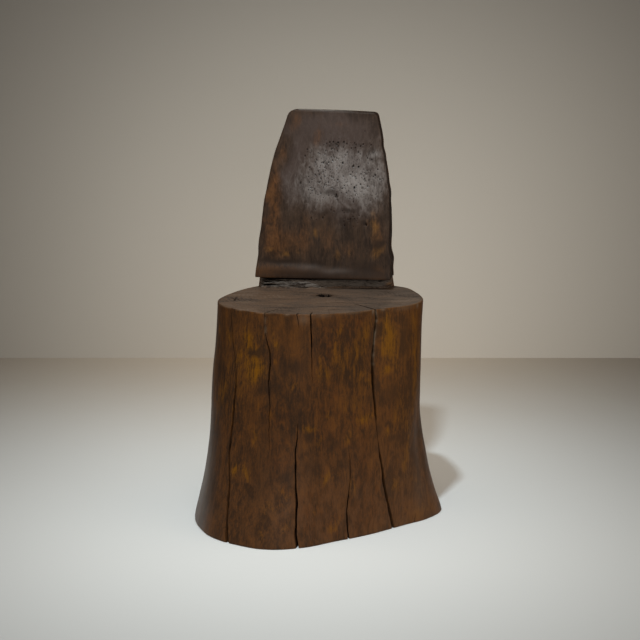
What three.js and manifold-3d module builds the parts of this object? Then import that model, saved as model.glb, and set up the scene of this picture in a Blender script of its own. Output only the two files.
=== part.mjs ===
// Tree trunk chair: one flared log sawn flat for the seat, with a rough ledge left standing at
// its rear. A tapered slab of the same log stands on the ledge as the back, held by hidden dowels.
// Millimetres, +Z up, the front towards -Y. The origin is on the floor, on the log's centre line.
import * as THREE from "three";
import { mergeVertices } from "three/addons/utils/BufferGeometryUtils.js";
import Module from "manifold-3d";

const wasm = await Module();
wasm.setup();

const degree = Math.PI / 180;

// Log
const seatHeight = 450;
const seatRadius = 200;
const baseRadius = 234;
const baseEase = 3;
const waveDepth = 2;
const pithAcross = 4;
const pithBack = 39;

// Hollow between two root flares, on the right of the log
const fluteDepth = 7;
const fluteAngle = -4 * degree;
const fluteSpread = 9 * degree;
const fluteHeight = 160;
const fluteReach = 90;

// Ledge at the rear of the seat
const ledgeHeight = 22;
const ledgeRoughness = 4;

// Back slab
const backWidth = 282;
const backHeight = 346;
const backTopDrop = 5;
const backThickness = 95;
const backLean = 5.1 * degree;
const backCorner = 12;
const backHollow = 2;
const lipHeight = 29;

// Dowels that hold the slab on the ledge
const dowelDiameter = 24;
const dowelLength = 200;
const dowelBevel = 3;
const dowelSpacing = 80;

// Glue line round the dowels and under the slab, room past a dowel's end, and the cuts' overrun
const glueLine = 0.3;
const holeEndRoom = 3;
const cutOverrun = 12;

// Drying checks
const checkWidth = 5;
const checkDepth = 90;
const pithCheckLength = 31;
const pithCheckWidth = 14;
const pithCheckDepth = 22;
const pithCheckTurn = 22 * degree;

// The log's sawn outline at the seat and its outline on the floor: the radius every 15 degrees
// from +X towards +Y, as shares of seatRadius and of baseRadius
const seatOutlineShares = [
  1.04, 1.045, 1.07, 1.135, 1.11, 1.075, 1.04, 1.02, 1.015, 1.03, 0.995, 0.97,
  0.99, 1.035, 1.055, 1.05, 1.03, 0.98, 0.955, 0.91, 0.875, 0.85, 0.9, 0.985,
];
const baseOutlineShares = [
  0.965, 1.09, 1.085, 1.045, 1.0, 0.96, 0.95, 0.96, 0.99, 1.03, 1.06, 1.085,
  1.095, 1.105, 1.12, 1.15, 1.145, 1.125, 0.995, 0.835, 0.77, 0.745, 0.755, 0.82,
];

// How far the log has widened from its outline at the seat towards its outline on the floor, evenly
// from the floor up, on the side at flareSide and on the side across from it
const flareSide = 8 * degree;
const flareNearShares = [1, 0.68, 0.4, 0.2, 0.02, -0.09, -0.09, -0.1, -0.11, -0.09, 0];
const flareFarShares = [1, 0.82, 0.63, 0.49, 0.38, 0.31, 0.26, 0.19, 0.1, 0.04, 0];
// How much thinner the log grows over a second seat height
const taperShare = 0.06;

// The ledge's front edge from left to right: across and back from the centre line, as shares of
// seatRadius. Both ends lie outside the log.
const ledgeLineShares = [
  [-0.75, 0.8], [-0.71, 0.625], [-0.67, 0.605], [-0.545, 0.595], [-0.385, 0.59], [-0.225, 0.59],
  [-0.09, 0.635], [0.215, 0.69], [0.525, 0.74], [0.6, 0.78], [0.625, 0.85], [0.64, 1.05],
];
// How far the torn front stands out at the ledge's foot, middle and top, as shares of
// ledgeRoughness
const ledgeTornShares = [1, -0.6, 0.3];

// The slab's edges on the left and right of the log's centre line, evenly from foot to top, as
// shares of backWidth
const backLeftShares = [0.543, 0.528, 0.512, 0.493, 0.472, 0.442, 0.403, 0.353, 0.305];
const backRightShares = [0.468, 0.459, 0.453, 0.447, 0.443, 0.424, 0.394, 0.374, 0.347];

// The drying checks in the log's side, each listed from its lower end up: height as a share of
// seatHeight, angle in degrees, width as a share of checkWidth, depth as a share of checkDepth.
// Heights under 0 and over 1 run out through the log's ends.
const checks = [
  { heightShares: [-0.03, 0.06, 0.16, 0.3, 0.41, 0.54, 0.64, 0.76, 0.87, 1.02],
    degrees: [-25.6, -29.7, -33.6, -37, -40.5, -42.5, -44.7, -44.9, -43.6, -43.2],
    widthShares: [1.4, 1.1, 1, 0.9, 0.8, 0.9, 1, 1, 1.1, 1.2],
    depthShares: [0.7, 0.5, 0.4, 0.4, 0.4, 0.4, 0.4, 0.45, 0.55, 1] },
  { heightShares: [-0.03, 0.06, 0.13, 0.23, 0.35, 0.5, 0.64, 0.76, 0.86],
    degrees: [-123.6, -127.6, -129.1, -130.5, -133.2, -133.4, -134.4, -135.8, -137.6],
    widthShares: [1.6, 1, 1, 1, 1, 0.9, 0.8, 0.6, 0.2],
    depthShares: [0.7, 0.5, 0.5, 0.5, 0.4, 0.4, 0.3, 0.2, 0.1] },
  { heightShares: [0.45, 0.55, 0.62, 0.72, 0.83, 0.89, 0.94, 1.02],
    degrees: [-109.2, -109.8, -110.1, -111.4, -111.4, -113, -114, -114.2],
    widthShares: [0.2, 0.5, 0.6, 0.6, 0.7, 0.8, 0.8, 0.9],
    depthShares: [0.1, 0.15, 0.2, 0.2, 0.3, 0.4, 0.6, 1] },
  { heightShares: [-0.03, 0.04, 0.17, 0.27, 0.4, 0.5],
    degrees: [-92.5, -93.2, -94.1, -95.3, -95.2, -95.1],
    widthShares: [1.1, 0.9, 0.8, 0.7, 0.5, 0.2],
    depthShares: [0.5, 0.4, 0.3, 0.3, 0.2, 0.1] },
  { heightShares: [0.8, 0.86, 0.93, 1.02],
    degrees: [-86.8, -86.6, -86.6, -86.5],
    widthShares: [0.2, 0.5, 0.6, 0.7],
    depthShares: [0.1, 0.2, 0.25, 0.3] },
  { heightShares: [-0.03, 0.08, 0.19, 0.34],
    degrees: [-63.7, -65.1, -64.5, -62.6],
    widthShares: [0.8, 0.6, 0.4, 0.2],
    depthShares: [0.4, 0.3, 0.2, 0.1] },
  { heightShares: [-0.03, 0.12, 0.3, 0.5, 0.74],
    degrees: [124, 123, 120, 121, 118],
    widthShares: [1.3, 1.1, 1, 0.8, 0.2],
    depthShares: [0.6, 0.5, 0.4, 0.3, 0.1] },
  { heightShares: [0.2, 0.34, 0.5, 0.7, 0.9],
    degrees: [61.5, 61, 63, 62.5, 64],
    widthShares: [0.2, 0.7, 0.9, 0.7, 0.2],
    depthShares: [0.1, 0.3, 0.4, 0.3, 0.1] },
];
// The pith check's half width along its length, as shares of pithCheckWidth
const pithCheckShares = [0.1, 0.35, 0.5, 0.4, 0.25, 0.1];

// How finely the curved shapes are cut into flat faces
const logSides = 72;
const flareSteps = 11;
const backRows = 10;
const backColumns = 8;
const cornerSteps = 4;
const dowelSides = 32;

const seamHeight = seatHeight + ledgeHeight;
const backFoot = seamHeight + glueLine;
const behindLog = 2 * Math.max(seatRadius, baseRadius);
const backFront = logRear(0, seamHeight) - backThickness;

// The cubic curve between two values, with slopes taken from the values before and after them
function smoothStretch([before, from, to, after], part) {
  const slope = (to - before) / 2;
  const nextSlope = (after - from) / 2;
  const square = part * part;
  const cube = square * part;
  return (2 * cube - 3 * square + 1) * from + (cube - 2 * square + part) * slope
    + (3 * square - 2 * cube) * to + (cube - square) * nextSlope;
}

// A value from a list that runs once round the log
function around(shares, angle) {
  const turn = THREE.MathUtils.euclideanModulo(angle / (2 * Math.PI), 1) * shares.length;
  const first = Math.floor(turn);
  const near = [-1, 0, 1, 2].map((step) => shares[(first + step + shares.length) % shares.length]);
  return smoothStretch(near, turn - first);
}

// A value from a list that runs from one end to the other, at part 0 to 1 of the way
function along(shares, part) {
  const last = shares.length - 1;
  const first = Math.min(Math.floor(part * last), last - 1);
  const near = [-1, 0, 1, 2].map((step) => shares[THREE.MathUtils.clamp(first + step, 0, last)]);
  return smoothStretch(near, part * last - first);
}

function bell(distance, reach) {
  return Math.exp(-((distance / reach) ** 2));
}

// The log's radius, grown thinner above the seat and eased where it meets the floor
function logRadius(angle, height) {
  const seat = seatRadius * around(seatOutlineShares, angle);
  const base = baseRadius * around(baseOutlineShares, angle);
  const below = Math.max(1 - height / seatHeight, 0);
  const above = Math.max(height / seatHeight - 1, 0);
  const near = (1 + Math.cos(angle - flareSide)) / 2;
  const part = Math.min(height / seatHeight, 1);
  const flare = THREE.MathUtils.lerp(along(flareFarShares, part), along(flareNearShares, part), near);
  const flared = (seat + (base - seat) * flare) * (1 - taperShare * above);
  const flute = fluteDepth * bell(angle - fluteAngle, fluteSpread) * bell(height - fluteHeight, fluteReach);
  const wave = waveDepth * Math.sin(5 * angle + 4 * below) * Math.sin(Math.PI * below) ** 2;
  const edge = THREE.MathUtils.clamp(1 - height / baseEase, 0, 1);
  return flared - flute - wave - baseEase * (1 - Math.sqrt(1 - edge * edge));
}

function pointAt(radius, angle, height) {
  return new THREE.Vector3(radius * Math.cos(angle), radius * Math.sin(angle), height);
}

// How far back the log's rear surface lies at a place across it
function logRear(across, height) {
  let angle = Math.PI / 2;
  for (let round = 0; round < 12; round += 1) {
    angle = Math.acos(across / logRadius(angle, height));
  }
  return logRadius(angle, height) * Math.sin(angle);
}

// A closed geometry skinned over level rings of as many points each, counter-clockwise, from the
// lowest up
function stackRings(rings) {
  const count = rings[0].length;
  const faces = [];
  for (let level = 1; level < rings.length; level += 1) {
    for (let side = 0; side < count; side += 1) {
      const next = (side + 1) % count;
      const below = (level - 1) * count;
      const above = level * count;
      faces.push(below + side, below + next, above + next);
      faces.push(below + side, above + next, above + side);
    }
  }
  const top = (rings.length - 1) * count;
  for (const [a, b, c] of THREE.ShapeUtils.triangulateShape(rings[0], [])) {
    faces.push(c, b, a);
  }
  for (const [a, b, c] of THREE.ShapeUtils.triangulateShape(rings.at(-1), [])) {
    faces.push(top + a, top + b, top + c);
  }
  const geometry = new THREE.BufferGeometry().setFromPoints(rings.flat());
  geometry.setIndex(faces);
  return geometry;
}

function solidOf(geometry) {
  geometry.deleteAttribute("normal");
  geometry.deleteAttribute("uv");
  const merged = mergeVertices(geometry);
  return new wasm.Manifold(new wasm.Mesh({
    numProp: 3,
    vertProperties: new Float32Array(merged.getAttribute("position").array),
    triVerts: new Uint32Array(merged.index.array),
  }));
}

function geometryOf(solid) {
  const mesh = solid.getMesh();
  const geometry = new THREE.BufferGeometry();
  geometry.setAttribute("position", new THREE.BufferAttribute(mesh.vertProperties, 3));
  geometry.setIndex(new THREE.BufferAttribute(mesh.triVerts, 1));
  geometry.computeVertexNormals();
  return geometry;
}

// The round log between its lowest and highest ring
function logColumn(heights) {
  const ringAt = (height) => Array.from({ length: logSides }, (_, side) => {
    const angle = (2 * Math.PI * side) / logSides;
    return pointAt(logRadius(angle, height), angle, height);
  });
  return solidOf(stackRings(heights.map(ringAt)));
}

// What was hewn away above the seat, as far back as the ledge's torn front
function seatRoom() {
  const levels = [seatHeight, seatHeight + ledgeHeight / 2, seamHeight + cutOverrun];
  const rings = levels.map((height, level) => {
    const line = ledgeLineShares.map(([across, back], place) => {
      const torn = ledgeRoughness * ledgeTornShares[level] * (place % 2 ? 1 : -0.5);
      return new THREE.Vector3(across * seatRadius, back * seatRadius - torn, height);
    });
    const [first, last] = [line[0], line.at(-1)];
    return [
      new THREE.Vector3(-behindLog, -behindLog, height),
      new THREE.Vector3(behindLog, -behindLog, height),
      new THREE.Vector3(behindLog, last.y, height),
      ...line.reverse(),
      new THREE.Vector3(-behindLog, first.y, height),
    ];
  });
  return solidOf(stackRings(rings));
}

// A check is a wedge that narrows from the log's surface towards the pith
function checkCut({ heightShares, degrees, widthShares, depthShares }) {
  const pith = new THREE.Vector3(pithAcross, pithBack);
  const rings = heightShares.map((share, place) => {
    const height = share * seatHeight;
    const angle = degrees[place] * degree;
    const depth = depthShares[place] * checkDepth;
    const mouth = pointAt(logRadius(angle, height), angle, height);
    const inward = pith.clone().setZ(height).sub(mouth).normalize();
    const tip = mouth.clone().addScaledVector(inward, depth);
    const outer = mouth.clone().addScaledVector(inward, -cutOverrun);
    const halfWidth = (widthShares[place] * checkWidth * (depth + cutOverrun)) / depth / 2;
    const aside = new THREE.Vector3(inward.y, -inward.x, 0).multiplyScalar(halfWidth);
    return [tip, outer.clone().sub(aside), outer.clone().add(aside)];
  });
  return solidOf(stackRings(rings));
}

// The short split at the pith, a leaf shape that narrows as it goes down
function pithCheckCut() {
  const ringAt = (height, widthShare) => {
    const last = pithCheckShares.length - 1;
    const edge = (side) => pithCheckShares.map((share, place) => new THREE.Vector3(
      (place / last - 0.5) * pithCheckLength, side * share * widthShare * pithCheckWidth, height));
    return [...edge(-1), ...edge(1).reverse()].map((point) => point
      .applyAxisAngle(new THREE.Vector3(0, 0, 1), pithCheckTurn)
      .add(new THREE.Vector3(pithAcross, pithBack, 0)));
  };
  const narrowShare = 0.15;
  return solidOf(stackRings([
    ringAt(seatHeight - pithCheckDepth, narrowShare),
    ringAt(seatHeight, 1),
    ringAt(seatHeight + cutOverrun, 1),
  ]));
}

// How far back the slab's front lies at a height above its foot: it leans, and is hollowed above
// the lip
function slabFront(rise) {
  const hollow = THREE.MathUtils.smoothstep(rise, lipHeight, 1.5 * lipHeight);
  return backFront + rise * Math.tan(backLean) + backHollow * hollow;
}

// The slab's outline and front, with its rear left far behind the log
function slabBlock() {
  const shoulder = backHeight - backCorner;
  const rises = [0];
  for (let row = 0; row <= backRows; row += 1) {
    rises.push(THREE.MathUtils.lerp(lipHeight, shoulder, row / backRows));
  }
  const levels = rises.map((rise) => ({ rise, inset: 0 }));
  for (let step = 1; step <= cornerSteps; step += 1) {
    const turn = (step / cornerSteps) * (Math.PI / 2);
    levels.push({ rise: shoulder + backCorner * Math.sin(turn), inset: backCorner * (1 - Math.cos(turn)) });
  }
  return solidOf(stackRings(levels.map(({ rise, inset }) => {
    const part = rise / backHeight;
    const left = inset - backWidth * along(backLeftShares, part);
    const right = backWidth * along(backRightShares, part) - inset;
    const pointOn = (across, back) => new THREE.Vector3(
      THREE.MathUtils.lerp(left, right, across), back, backFoot + rise - backTopDrop * part * across);
    const front = Array.from({ length: backColumns + 1 }, (_, column) =>
      pointOn(column / backColumns, slabFront(rise)));
    return [...front, pointOn(1, behindLog), pointOn(0, behindLog)];
  })));
}

// Where the ledge's front edge lies at a place across it
function ledgeFront(across) {
  const share = across / seatRadius;
  const next = ledgeLineShares.findIndex(([place]) => place > share);
  const [from, to] = [ledgeLineShares[next - 1], ledgeLineShares[next]];
  return seatRadius * THREE.MathUtils.mapLinear(share, from[0], to[0], from[1], to[1]);
}

// A dowel stands midway between the wood's front and rear at the seam
function dowelPlace(across) {
  const front = Math.max(ledgeFront(across), slabFront(0));
  const back = (front + logRear(across, seamHeight)) / 2;
  return new THREE.Vector3(across, back, seamHeight + glueLine / 2);
}

function dowelGeometry() {
  const radius = dowelDiameter / 2;
  const half = dowelLength / 2;
  const profile = [
    [0, -half], [radius - dowelBevel, -half], [radius, dowelBevel - half],
    [radius, half - dowelBevel], [radius - dowelBevel, half], [0, half],
  ].map(([out, up]) => new THREE.Vector2(out, up));
  return new THREE.LatheGeometry(profile, dowelSides).rotateX(Math.PI / 2);
}

// The two blind holes that hold one dowel, as one cut through the seam
function dowelRoom(place) {
  const radius = dowelDiameter / 2 + glueLine;
  const length = dowelLength + 2 * holeEndRoom;
  const room = new THREE.CylinderGeometry(radius, radius, length, dowelSides).rotateX(Math.PI / 2);
  return solidOf(room.translate(place.x, place.y, place.z));
}

const dowelPlaces = [-dowelSpacing, 0, dowelSpacing].map(dowelPlace);

function trunkGeometry() {
  const heights = [0, baseEase / 4, baseEase];
  for (let step = 1; step < flareSteps; step += 1) {
    heights.push(baseEase + (seatHeight - baseEase) * (step / flareSteps) ** 1.4);
  }
  let trunk = logColumn([...heights, seatHeight, seamHeight]).subtract(seatRoom());
  for (const cut of [...checks.map(checkCut), pithCheckCut(), ...dowelPlaces.map(dowelRoom)]) {
    trunk = trunk.subtract(cut);
  }
  return geometryOf(trunk);
}

function slabGeometry() {
  const heights = [backFoot - cutOverrun];
  for (let row = 0; row <= backRows; row += 1) {
    heights.push(backFoot + ((backHeight + cutOverrun) * row) / backRows);
  }
  let slab = logColumn(heights).intersect(slabBlock());
  for (const place of dowelPlaces) {
    slab = slab.subtract(dowelRoom(place));
  }
  return geometryOf(slab);
}

const trunkWood = new THREE.MeshStandardMaterial({ color: "#4a3220", roughness: 0.45, metalness: 0 });
const slabWood = new THREE.MeshStandardMaterial({ color: "#665448", roughness: 0.5, metalness: 0 });
const dowelWood = new THREE.MeshStandardMaterial({ color: "#b08a5c", roughness: 0.7, metalness: 0 });

function piece(name, geometry, material) {
  const mesh = new THREE.Mesh(geometry, material);
  mesh.name = name;
  return mesh;
}

const group = new THREE.Group();
group.add(piece("trunk", trunkGeometry(), trunkWood));
group.add(piece("back_slab", slabGeometry(), slabWood));
["left", "middle", "right"].forEach((side, place) => {
  const dowel = piece(`back_dowel_${side}`, dowelGeometry(), dowelWood);
  dowel.position.copy(dowelPlaces[place]);
  group.add(dowel);
});

export default group;
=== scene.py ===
"""Tree trunk chair: the finish of the flared log and of the slab that stands on it as the back."""

import itertools
import math

import bpy
import numpy as np
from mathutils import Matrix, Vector
from mathutils.geometry import delaunay_2d_cdt
from mathutils.kdtree import KDTree


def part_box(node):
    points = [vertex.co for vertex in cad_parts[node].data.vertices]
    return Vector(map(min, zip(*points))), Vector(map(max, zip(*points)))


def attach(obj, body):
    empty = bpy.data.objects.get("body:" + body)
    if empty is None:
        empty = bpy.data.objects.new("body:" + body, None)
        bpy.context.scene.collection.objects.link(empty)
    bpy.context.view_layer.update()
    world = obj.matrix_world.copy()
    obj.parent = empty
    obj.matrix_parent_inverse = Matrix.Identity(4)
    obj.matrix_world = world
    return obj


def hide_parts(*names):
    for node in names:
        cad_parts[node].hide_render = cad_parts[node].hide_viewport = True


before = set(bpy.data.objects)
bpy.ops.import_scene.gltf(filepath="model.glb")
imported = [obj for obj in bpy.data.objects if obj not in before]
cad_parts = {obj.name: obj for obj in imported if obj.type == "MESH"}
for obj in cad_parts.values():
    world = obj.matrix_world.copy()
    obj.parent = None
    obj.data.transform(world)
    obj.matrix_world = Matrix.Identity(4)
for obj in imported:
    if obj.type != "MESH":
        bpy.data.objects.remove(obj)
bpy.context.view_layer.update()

MM = 0.001
DEGREE = math.pi / 180
TURN = 2 * math.pi

# The log, with the same sizes and shares as the solid that carries it
SEAT_HEIGHT = 450 * MM
SEAT_RADIUS = 200 * MM
BASE_RADIUS = 234 * MM
BASE_EASE = 3 * MM
RIM_EASE = 3 * MM
SEAM_EASE = 1 * MM
WAVE_DEPTH = 2 * MM
WAVE_COUNT = 5
WAVE_TWIST = 4
PITH = np.array([4 * MM, 39 * MM])
FLUTE_DEPTH = 7 * MM
FLUTE_ANGLE = -4 * DEGREE
FLUTE_SPREAD = 9 * DEGREE
FLUTE_HEIGHT = 160 * MM
FLUTE_REACH = 90 * MM
SEAT_OUTLINE_SHARES = np.array([
    1.04, 1.045, 1.07, 1.135, 1.11, 1.075, 1.04, 1.02, 1.015, 1.03, 0.995, 0.97,
    0.99, 1.035, 1.055, 1.05, 1.03, 0.98, 0.955, 0.91, 0.875, 0.85, 0.9, 0.985,
])
BASE_OUTLINE_SHARES = np.array([
    0.965, 1.09, 1.085, 1.045, 1.0, 0.96, 0.95, 0.96, 0.99, 1.03, 1.06, 1.085,
    1.095, 1.105, 1.12, 1.15, 1.145, 1.125, 0.995, 0.835, 0.77, 0.745, 0.755, 0.82,
])
FLARE_SIDE = 8 * DEGREE
FLARE_NEAR_SHARES = np.array([1, 0.68, 0.4, 0.2, 0.02, -0.09, -0.09, -0.1, -0.11, -0.09, 0])
FLARE_FAR_SHARES = np.array([1, 0.82, 0.63, 0.49, 0.38, 0.31, 0.26, 0.19, 0.1, 0.04, 0])
TAPER_SHARE = 0.06

# The ledge at the rear of the seat, and the line of its torn front in shares of SEAT_RADIUS
LEDGE_HEIGHT = 22 * MM
LEDGE_LINE_SHARES = np.array([
    (-0.75, 0.8), (-0.71, 0.625), (-0.67, 0.605), (-0.545, 0.595), (-0.385, 0.59), (-0.225, 0.59),
    (-0.09, 0.635), (0.215, 0.69), (0.525, 0.74), (0.6, 0.78), (0.625, 0.85), (0.64, 1.05),
])
SEAM_HEIGHT = SEAT_HEIGHT + LEDGE_HEIGHT

# The back slab
BACK_WIDTH = 282 * MM
BACK_HEIGHT = 346 * MM
BACK_TOP_DROP = 5 * MM
BACK_THICKNESS = 95 * MM
BACK_LEAN = 5.1 * DEGREE
BACK_HOLLOW = 2 * MM
BACK_LEFT_CORNER = 13 * MM
BACK_RIGHT_CORNER = 9 * MM
BACK_EDGE = 2.5 * MM
GLUE_LINE = 0.3 * MM
BACK_LEFT_SHARES = np.array([0.543, 0.528, 0.512, 0.493, 0.472, 0.442, 0.403, 0.353, 0.305])
BACK_RIGHT_SHARES = np.array([0.468, 0.459, 0.453, 0.447, 0.443, 0.424, 0.394, 0.374, 0.347])
BACK_FOOT = SEAM_HEIGHT + GLUE_LINE

# Drying checks in the log's side, by angle from the left rear round the front. Each runs from the
# floor to the seat: height as a share of SEAT_HEIGHT, angle in degrees, width and depth in
# millimetres. Where the depth is 0 the wood is closed.
CHECKS = [
    [(0, -166, 2.5, 14), (0.05, -166.5, 1.5, 8), (0.1, -167, 0, 0), (1, -165, 0, 0)],
    [(0, -124.4, 7, 63), (0.1, -127.3, 5, 45), (0.27, -129.8, 4.5, 45), (0.38, -132.3, 4.5, 40),
     (0.5, -131.8, 4.5, 36), (0.6, -131.5, 4.2, 36), (0.67, -131, 3.8, 30), (0.74, -131.6, 2, 14),
     (0.77, -132.8, 2.4, 8), (0.87, -135.8, 2.6, 9), (1, -138.4, 1.2, 2.5)],
    [(0, -108.5, 0, 0), (0.4, -108.8, 0, 0), (0.48, -109.2, 1.1, 6), (0.63, -109.5, 1.8, 12),
     (0.7, -110.4, 2.4, 18), (0.79, -110.2, 2.4, 20), (0.83, -110.6, 2.8, 24), (0.88, -112.6, 2.2, 16),
     (0.91, -113.3, 1.4, 1.6), (0.97, -113.7, 1.2, 1.2), (0.985, -113.8, 1.4, 30), (1, -113.8, 2, 62)],
    [(0, -92.7, 5, 45), (0.06, -93.8, 4.2, 36), (0.19, -93.8, 3.4, 27), (0.3, -95.1, 3.2, 27),
     (0.4, -95.3, 2.4, 18), (0.5, -94.6, 1.2, 8), (0.53, -94.5, 0, 0), (0.94, -94, 0, 0),
     (0.96, -94.2, 1.2, 5), (1, -95.4, 1.6, 8)],
    [(0, -85.5, 0, 0), (0.7, -86.4, 0, 0), (0.77, -86.6, 1.0, 6), (0.86, -86.8, 1.8, 14),
     (0.93, -87.2, 2.2, 20), (1, -87.5, 2.4, 22)],
    [(0, -64.2, 3.6, 36), (0.13, -65.3, 2.4, 24), (0.27, -62.4, 1.4, 12), (0.34, -62.6, 1, 8),
     (0.38, -62.9, 0, 0), (1, -62, 0, 0)],
    [(0, -26.4, 6.5, 63), (0.1, -30.6, 5.4, 45), (0.21, -35, 5, 36), (0.33, -38, 4.4, 30),
     (0.38, -39.6, 2.2, 12), (0.41, -40.4, 0.8, 4), (0.46, -41.5, 1, 6), (0.5, -42, 1.2, 9),
     (0.52, -42.2, 2.6, 20), (0.56, -42.7, 4.6, 36), (0.67, -44.4, 4.4, 36), (0.77, -44.7, 4.6, 41),
     (0.85, -43.9, 3.6, 44), (0.96, -42, 4, 50), (1, -42.7, 3, 74)],
    [(0, -9.8, 3.4, 12), (0.02, -9.6, 2, 6), (0.045, -9.3, 0, 0), (1, -12, 0, 0)],
    [(0, 24, 0, 0), (0.24, 24, 0, 0), (0.34, 23.5, 1.4, 9), (0.5, 23, 2, 14), (0.66, 23.6, 1.4, 9),
     (0.74, 23.6, 0, 0), (1, 24, 0, 0)],
    [(0, 61, 0, 0), (0.18, 61.5, 0, 0), (0.34, 61, 3.5, 27), (0.5, 63, 4.5, 36),
     (0.7, 62.5, 3.5, 27), (0.93, 64, 0, 0), (1, 64, 0, 0)],
    [(0, 94, 3, 20), (0.2, 93, 2.2, 14), (0.36, 92, 0, 0), (1, 92, 0, 0)],
    [(0, 124, 6.5, 54), (0.12, 123, 5.5, 45), (0.3, 120, 5, 36), (0.5, 121, 4, 27),
     (0.74, 118, 1.2, 9), (0.8, 118, 0, 0), (1, 118, 0, 0)],
    [(0, 158, 0, 0), (0.3, 158, 0, 0), (0.42, 157.5, 1.6, 10), (0.6, 157, 2.2, 16),
     (0.8, 158, 1.6, 10), (0.9, 158, 0, 0), (1, 158, 0, 0)],
]
# Columns of points across a check: share of its half width, distance past its lip, depth share
CHECK_COLUMNS = np.array([
    (-1, -5 * MM, 0), (-1, -1.5 * MM, 0), (-1, 0, 0.015), (-0.66, 0, 0.35), (-0.3, 0, 0.7),
    (0, 0, 1), (0.3, 0, 0.7), (0.66, 0, 0.35), (1, 0, 0.015), (1, 1.5 * MM, 0), (1, 5 * MM, 0),
])
CLOSED_WIDTH = 1 * MM
CHECK_SPREAD = 1.2
# Painted highlights on the lips of checks: the check's number and the stretch over which they set in,
# in shares of SEAT_HEIGHT, and how pale each of its columns of points is
CHECK_LIP_HIGHLIGHTS = {2: (0.85, 0.9), 6: (0.72, 0.78)}
LIP_HIGHLIGHT_COLUMNS = np.array([0, 0, 0.3, 0.2, 0.2, 0.3, 0.6, 0.8, 0.7, 0.1, 0])

DOWEL_SIDES = ("left", "middle", "right")
HOLE_ROOM = 3 * MM

# How finely the log's skin is divided
LOG_COLUMNS = 480
LOG_ROWS = 100
FOOT_ROW_SHARES = np.array([0, 0.05, 0.2, 0.5])
RIM_ROWS = 8
RIM_TURNS = np.array([25, 50, 72, 90]) * DEGREE
TORN_COLUMNS = 210
TORN_ROWS = 30
# Columns over which the torn front grows from nothing at its two ends
TORN_END_COLUMNS = 8
LINE_STEPS = 4000
LINE_BLUR = 40
HOLE_SIDES = 32
SHARP_ANGLE = 42 * DEGREE
MERGE_DISTANCE = 1e-9

# Places on the two maps that the finishes are baked to: two corners for a sheet, the place of the
# log's middle for a level face, and the low corner of the first dowel hole
SIDE_MAP = ((0, 0), (1, 0.46))
LEDGE_END_MAP = ((0, 0.465), (0.004, 0.465), (0, 0.468))
LEDGE_MAP = ((0, 0.47), (1, 0.52))
SEAT_MAP = (0.23, 0.76)
UNDERSIDE_MAP = (0.69, 0.76)
UNDERSIDE_MAP_SCALE = 0.9
LEDGE_HOLE_MAP = (0.93, 0.6)
SLAB_MAP = ((0, 0), (1, 0.8))
SLAB_TOP_MAP = (0.25, 0.72)
SLAB_FOOT_MAP = (0.68, 0.72)
SLAB_HOLE_MAP = (0.9, 0.82)
HOLE_MAP_STEP = 0.03
HOLE_MAP_SIZE = np.array([0.06, 0.025])


# Curves through lists of shares

def smooth_stretch(before, start, end, after, part):
    """The cubic curve from start to end, with slopes taken from the values next to them."""
    slope = (end - before) / 2
    next_slope = (after - start) / 2
    square = part * part
    cube = square * part
    return ((2 * cube - 3 * square + 1) * start + (cube - 2 * square + part) * slope
            + (3 * square - 2 * cube) * end + (cube - square) * next_slope)


def around(shares, angle):
    """A value from a list that runs once round the log."""
    turn = np.mod(angle / TURN, 1) * len(shares)
    first = np.floor(turn).astype(int)
    near = [shares[(first + step) % len(shares)] for step in (-1, 0, 1, 2)]
    return smooth_stretch(*near, turn - first)


def along(shares, part):
    """A value from a list that runs from one end to the other, at part 0 to 1 of the way."""
    last = len(shares) - 1
    place = np.asarray(part) * last
    first = np.clip(np.floor(place).astype(int), 0, last - 1)
    near = [shares[np.clip(first + step, 0, last)] for step in (-1, 0, 1, 2)]
    return smooth_stretch(*near, place - first)


def bell(distance, reach):
    return np.exp(-(distance / reach) ** 2)


def rise_between(low, high, value):
    """0 below low, 1 above high and a smooth rise between them."""
    part = np.clip((value - low) / (high - low), 0, 1)
    return part * part * (3 - 2 * part)


def blend(first, second, part):
    return first + (second - first) * part


def eased(part, radius):
    """How far a round edge lies inside the sharp one, at part 0 to 1 of the way to its end."""
    part = np.clip(part, 0, 1)
    return radius * (1 - np.sqrt(1 - part * part))


def half_turned(angle):
    """An angle brought between half a turn back and half a turn on."""
    return np.mod(angle + math.pi, TURN) - math.pi


# Noise

def lattice(cells, seed):
    """A value from -1 to 1 that depends on nothing but a whole-number place and the seed."""
    mixed = cells.astype(np.int64) @ np.array([73856093, 19349663, 83492791]) + seed * 7919
    mixed = (mixed ^ (mixed >> 13)) * 1274126177
    mixed = (mixed ^ (mixed >> 15)) * 668265263
    return ((mixed >> 8) & 0xFFFF) / 32767.5 - 1


def lumps(points, size, seed):
    """Smooth noise from -1 to 1, with lumps of the given size along each axis."""
    place = points / np.asarray(size)
    cell = np.floor(place)
    part = place - cell
    part = part * part * (3 - 2 * part)
    total = np.zeros(points.shape[:-1])
    for corner in itertools.product((0, 1), repeat=3):
        weight = np.prod(np.where(np.array(corner) == 1, part, 1 - part), axis=-1)
        total += weight * lattice(cell + np.array(corner), seed)
    return total


def layers(points, table, middle=0):
    """Layers of lumps laid over each other. The table gives each one's swing and its size along the
    axes in millimetres, and its seed. Each swings about a middle, which is given in swings."""
    return sum(swing * MM * (middle + lumps(points, np.multiply(size, MM), seed))
               for swing, size, seed in table)


def wander(values, size, seed):
    """Smooth noise along a line."""
    points = np.zeros((*np.shape(values), 3))
    points[..., 0] = values
    return lumps(points, (size, size, size), seed)


def on_level(plan):
    """The points of a plan, at height 0."""
    return np.column_stack([plan, np.zeros(len(plan))])


def on_front(across, upward):
    """Points on an upright face, all at the same depth."""
    return np.stack([across, np.zeros_like(across), upward], -1)


# The log's surface

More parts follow.
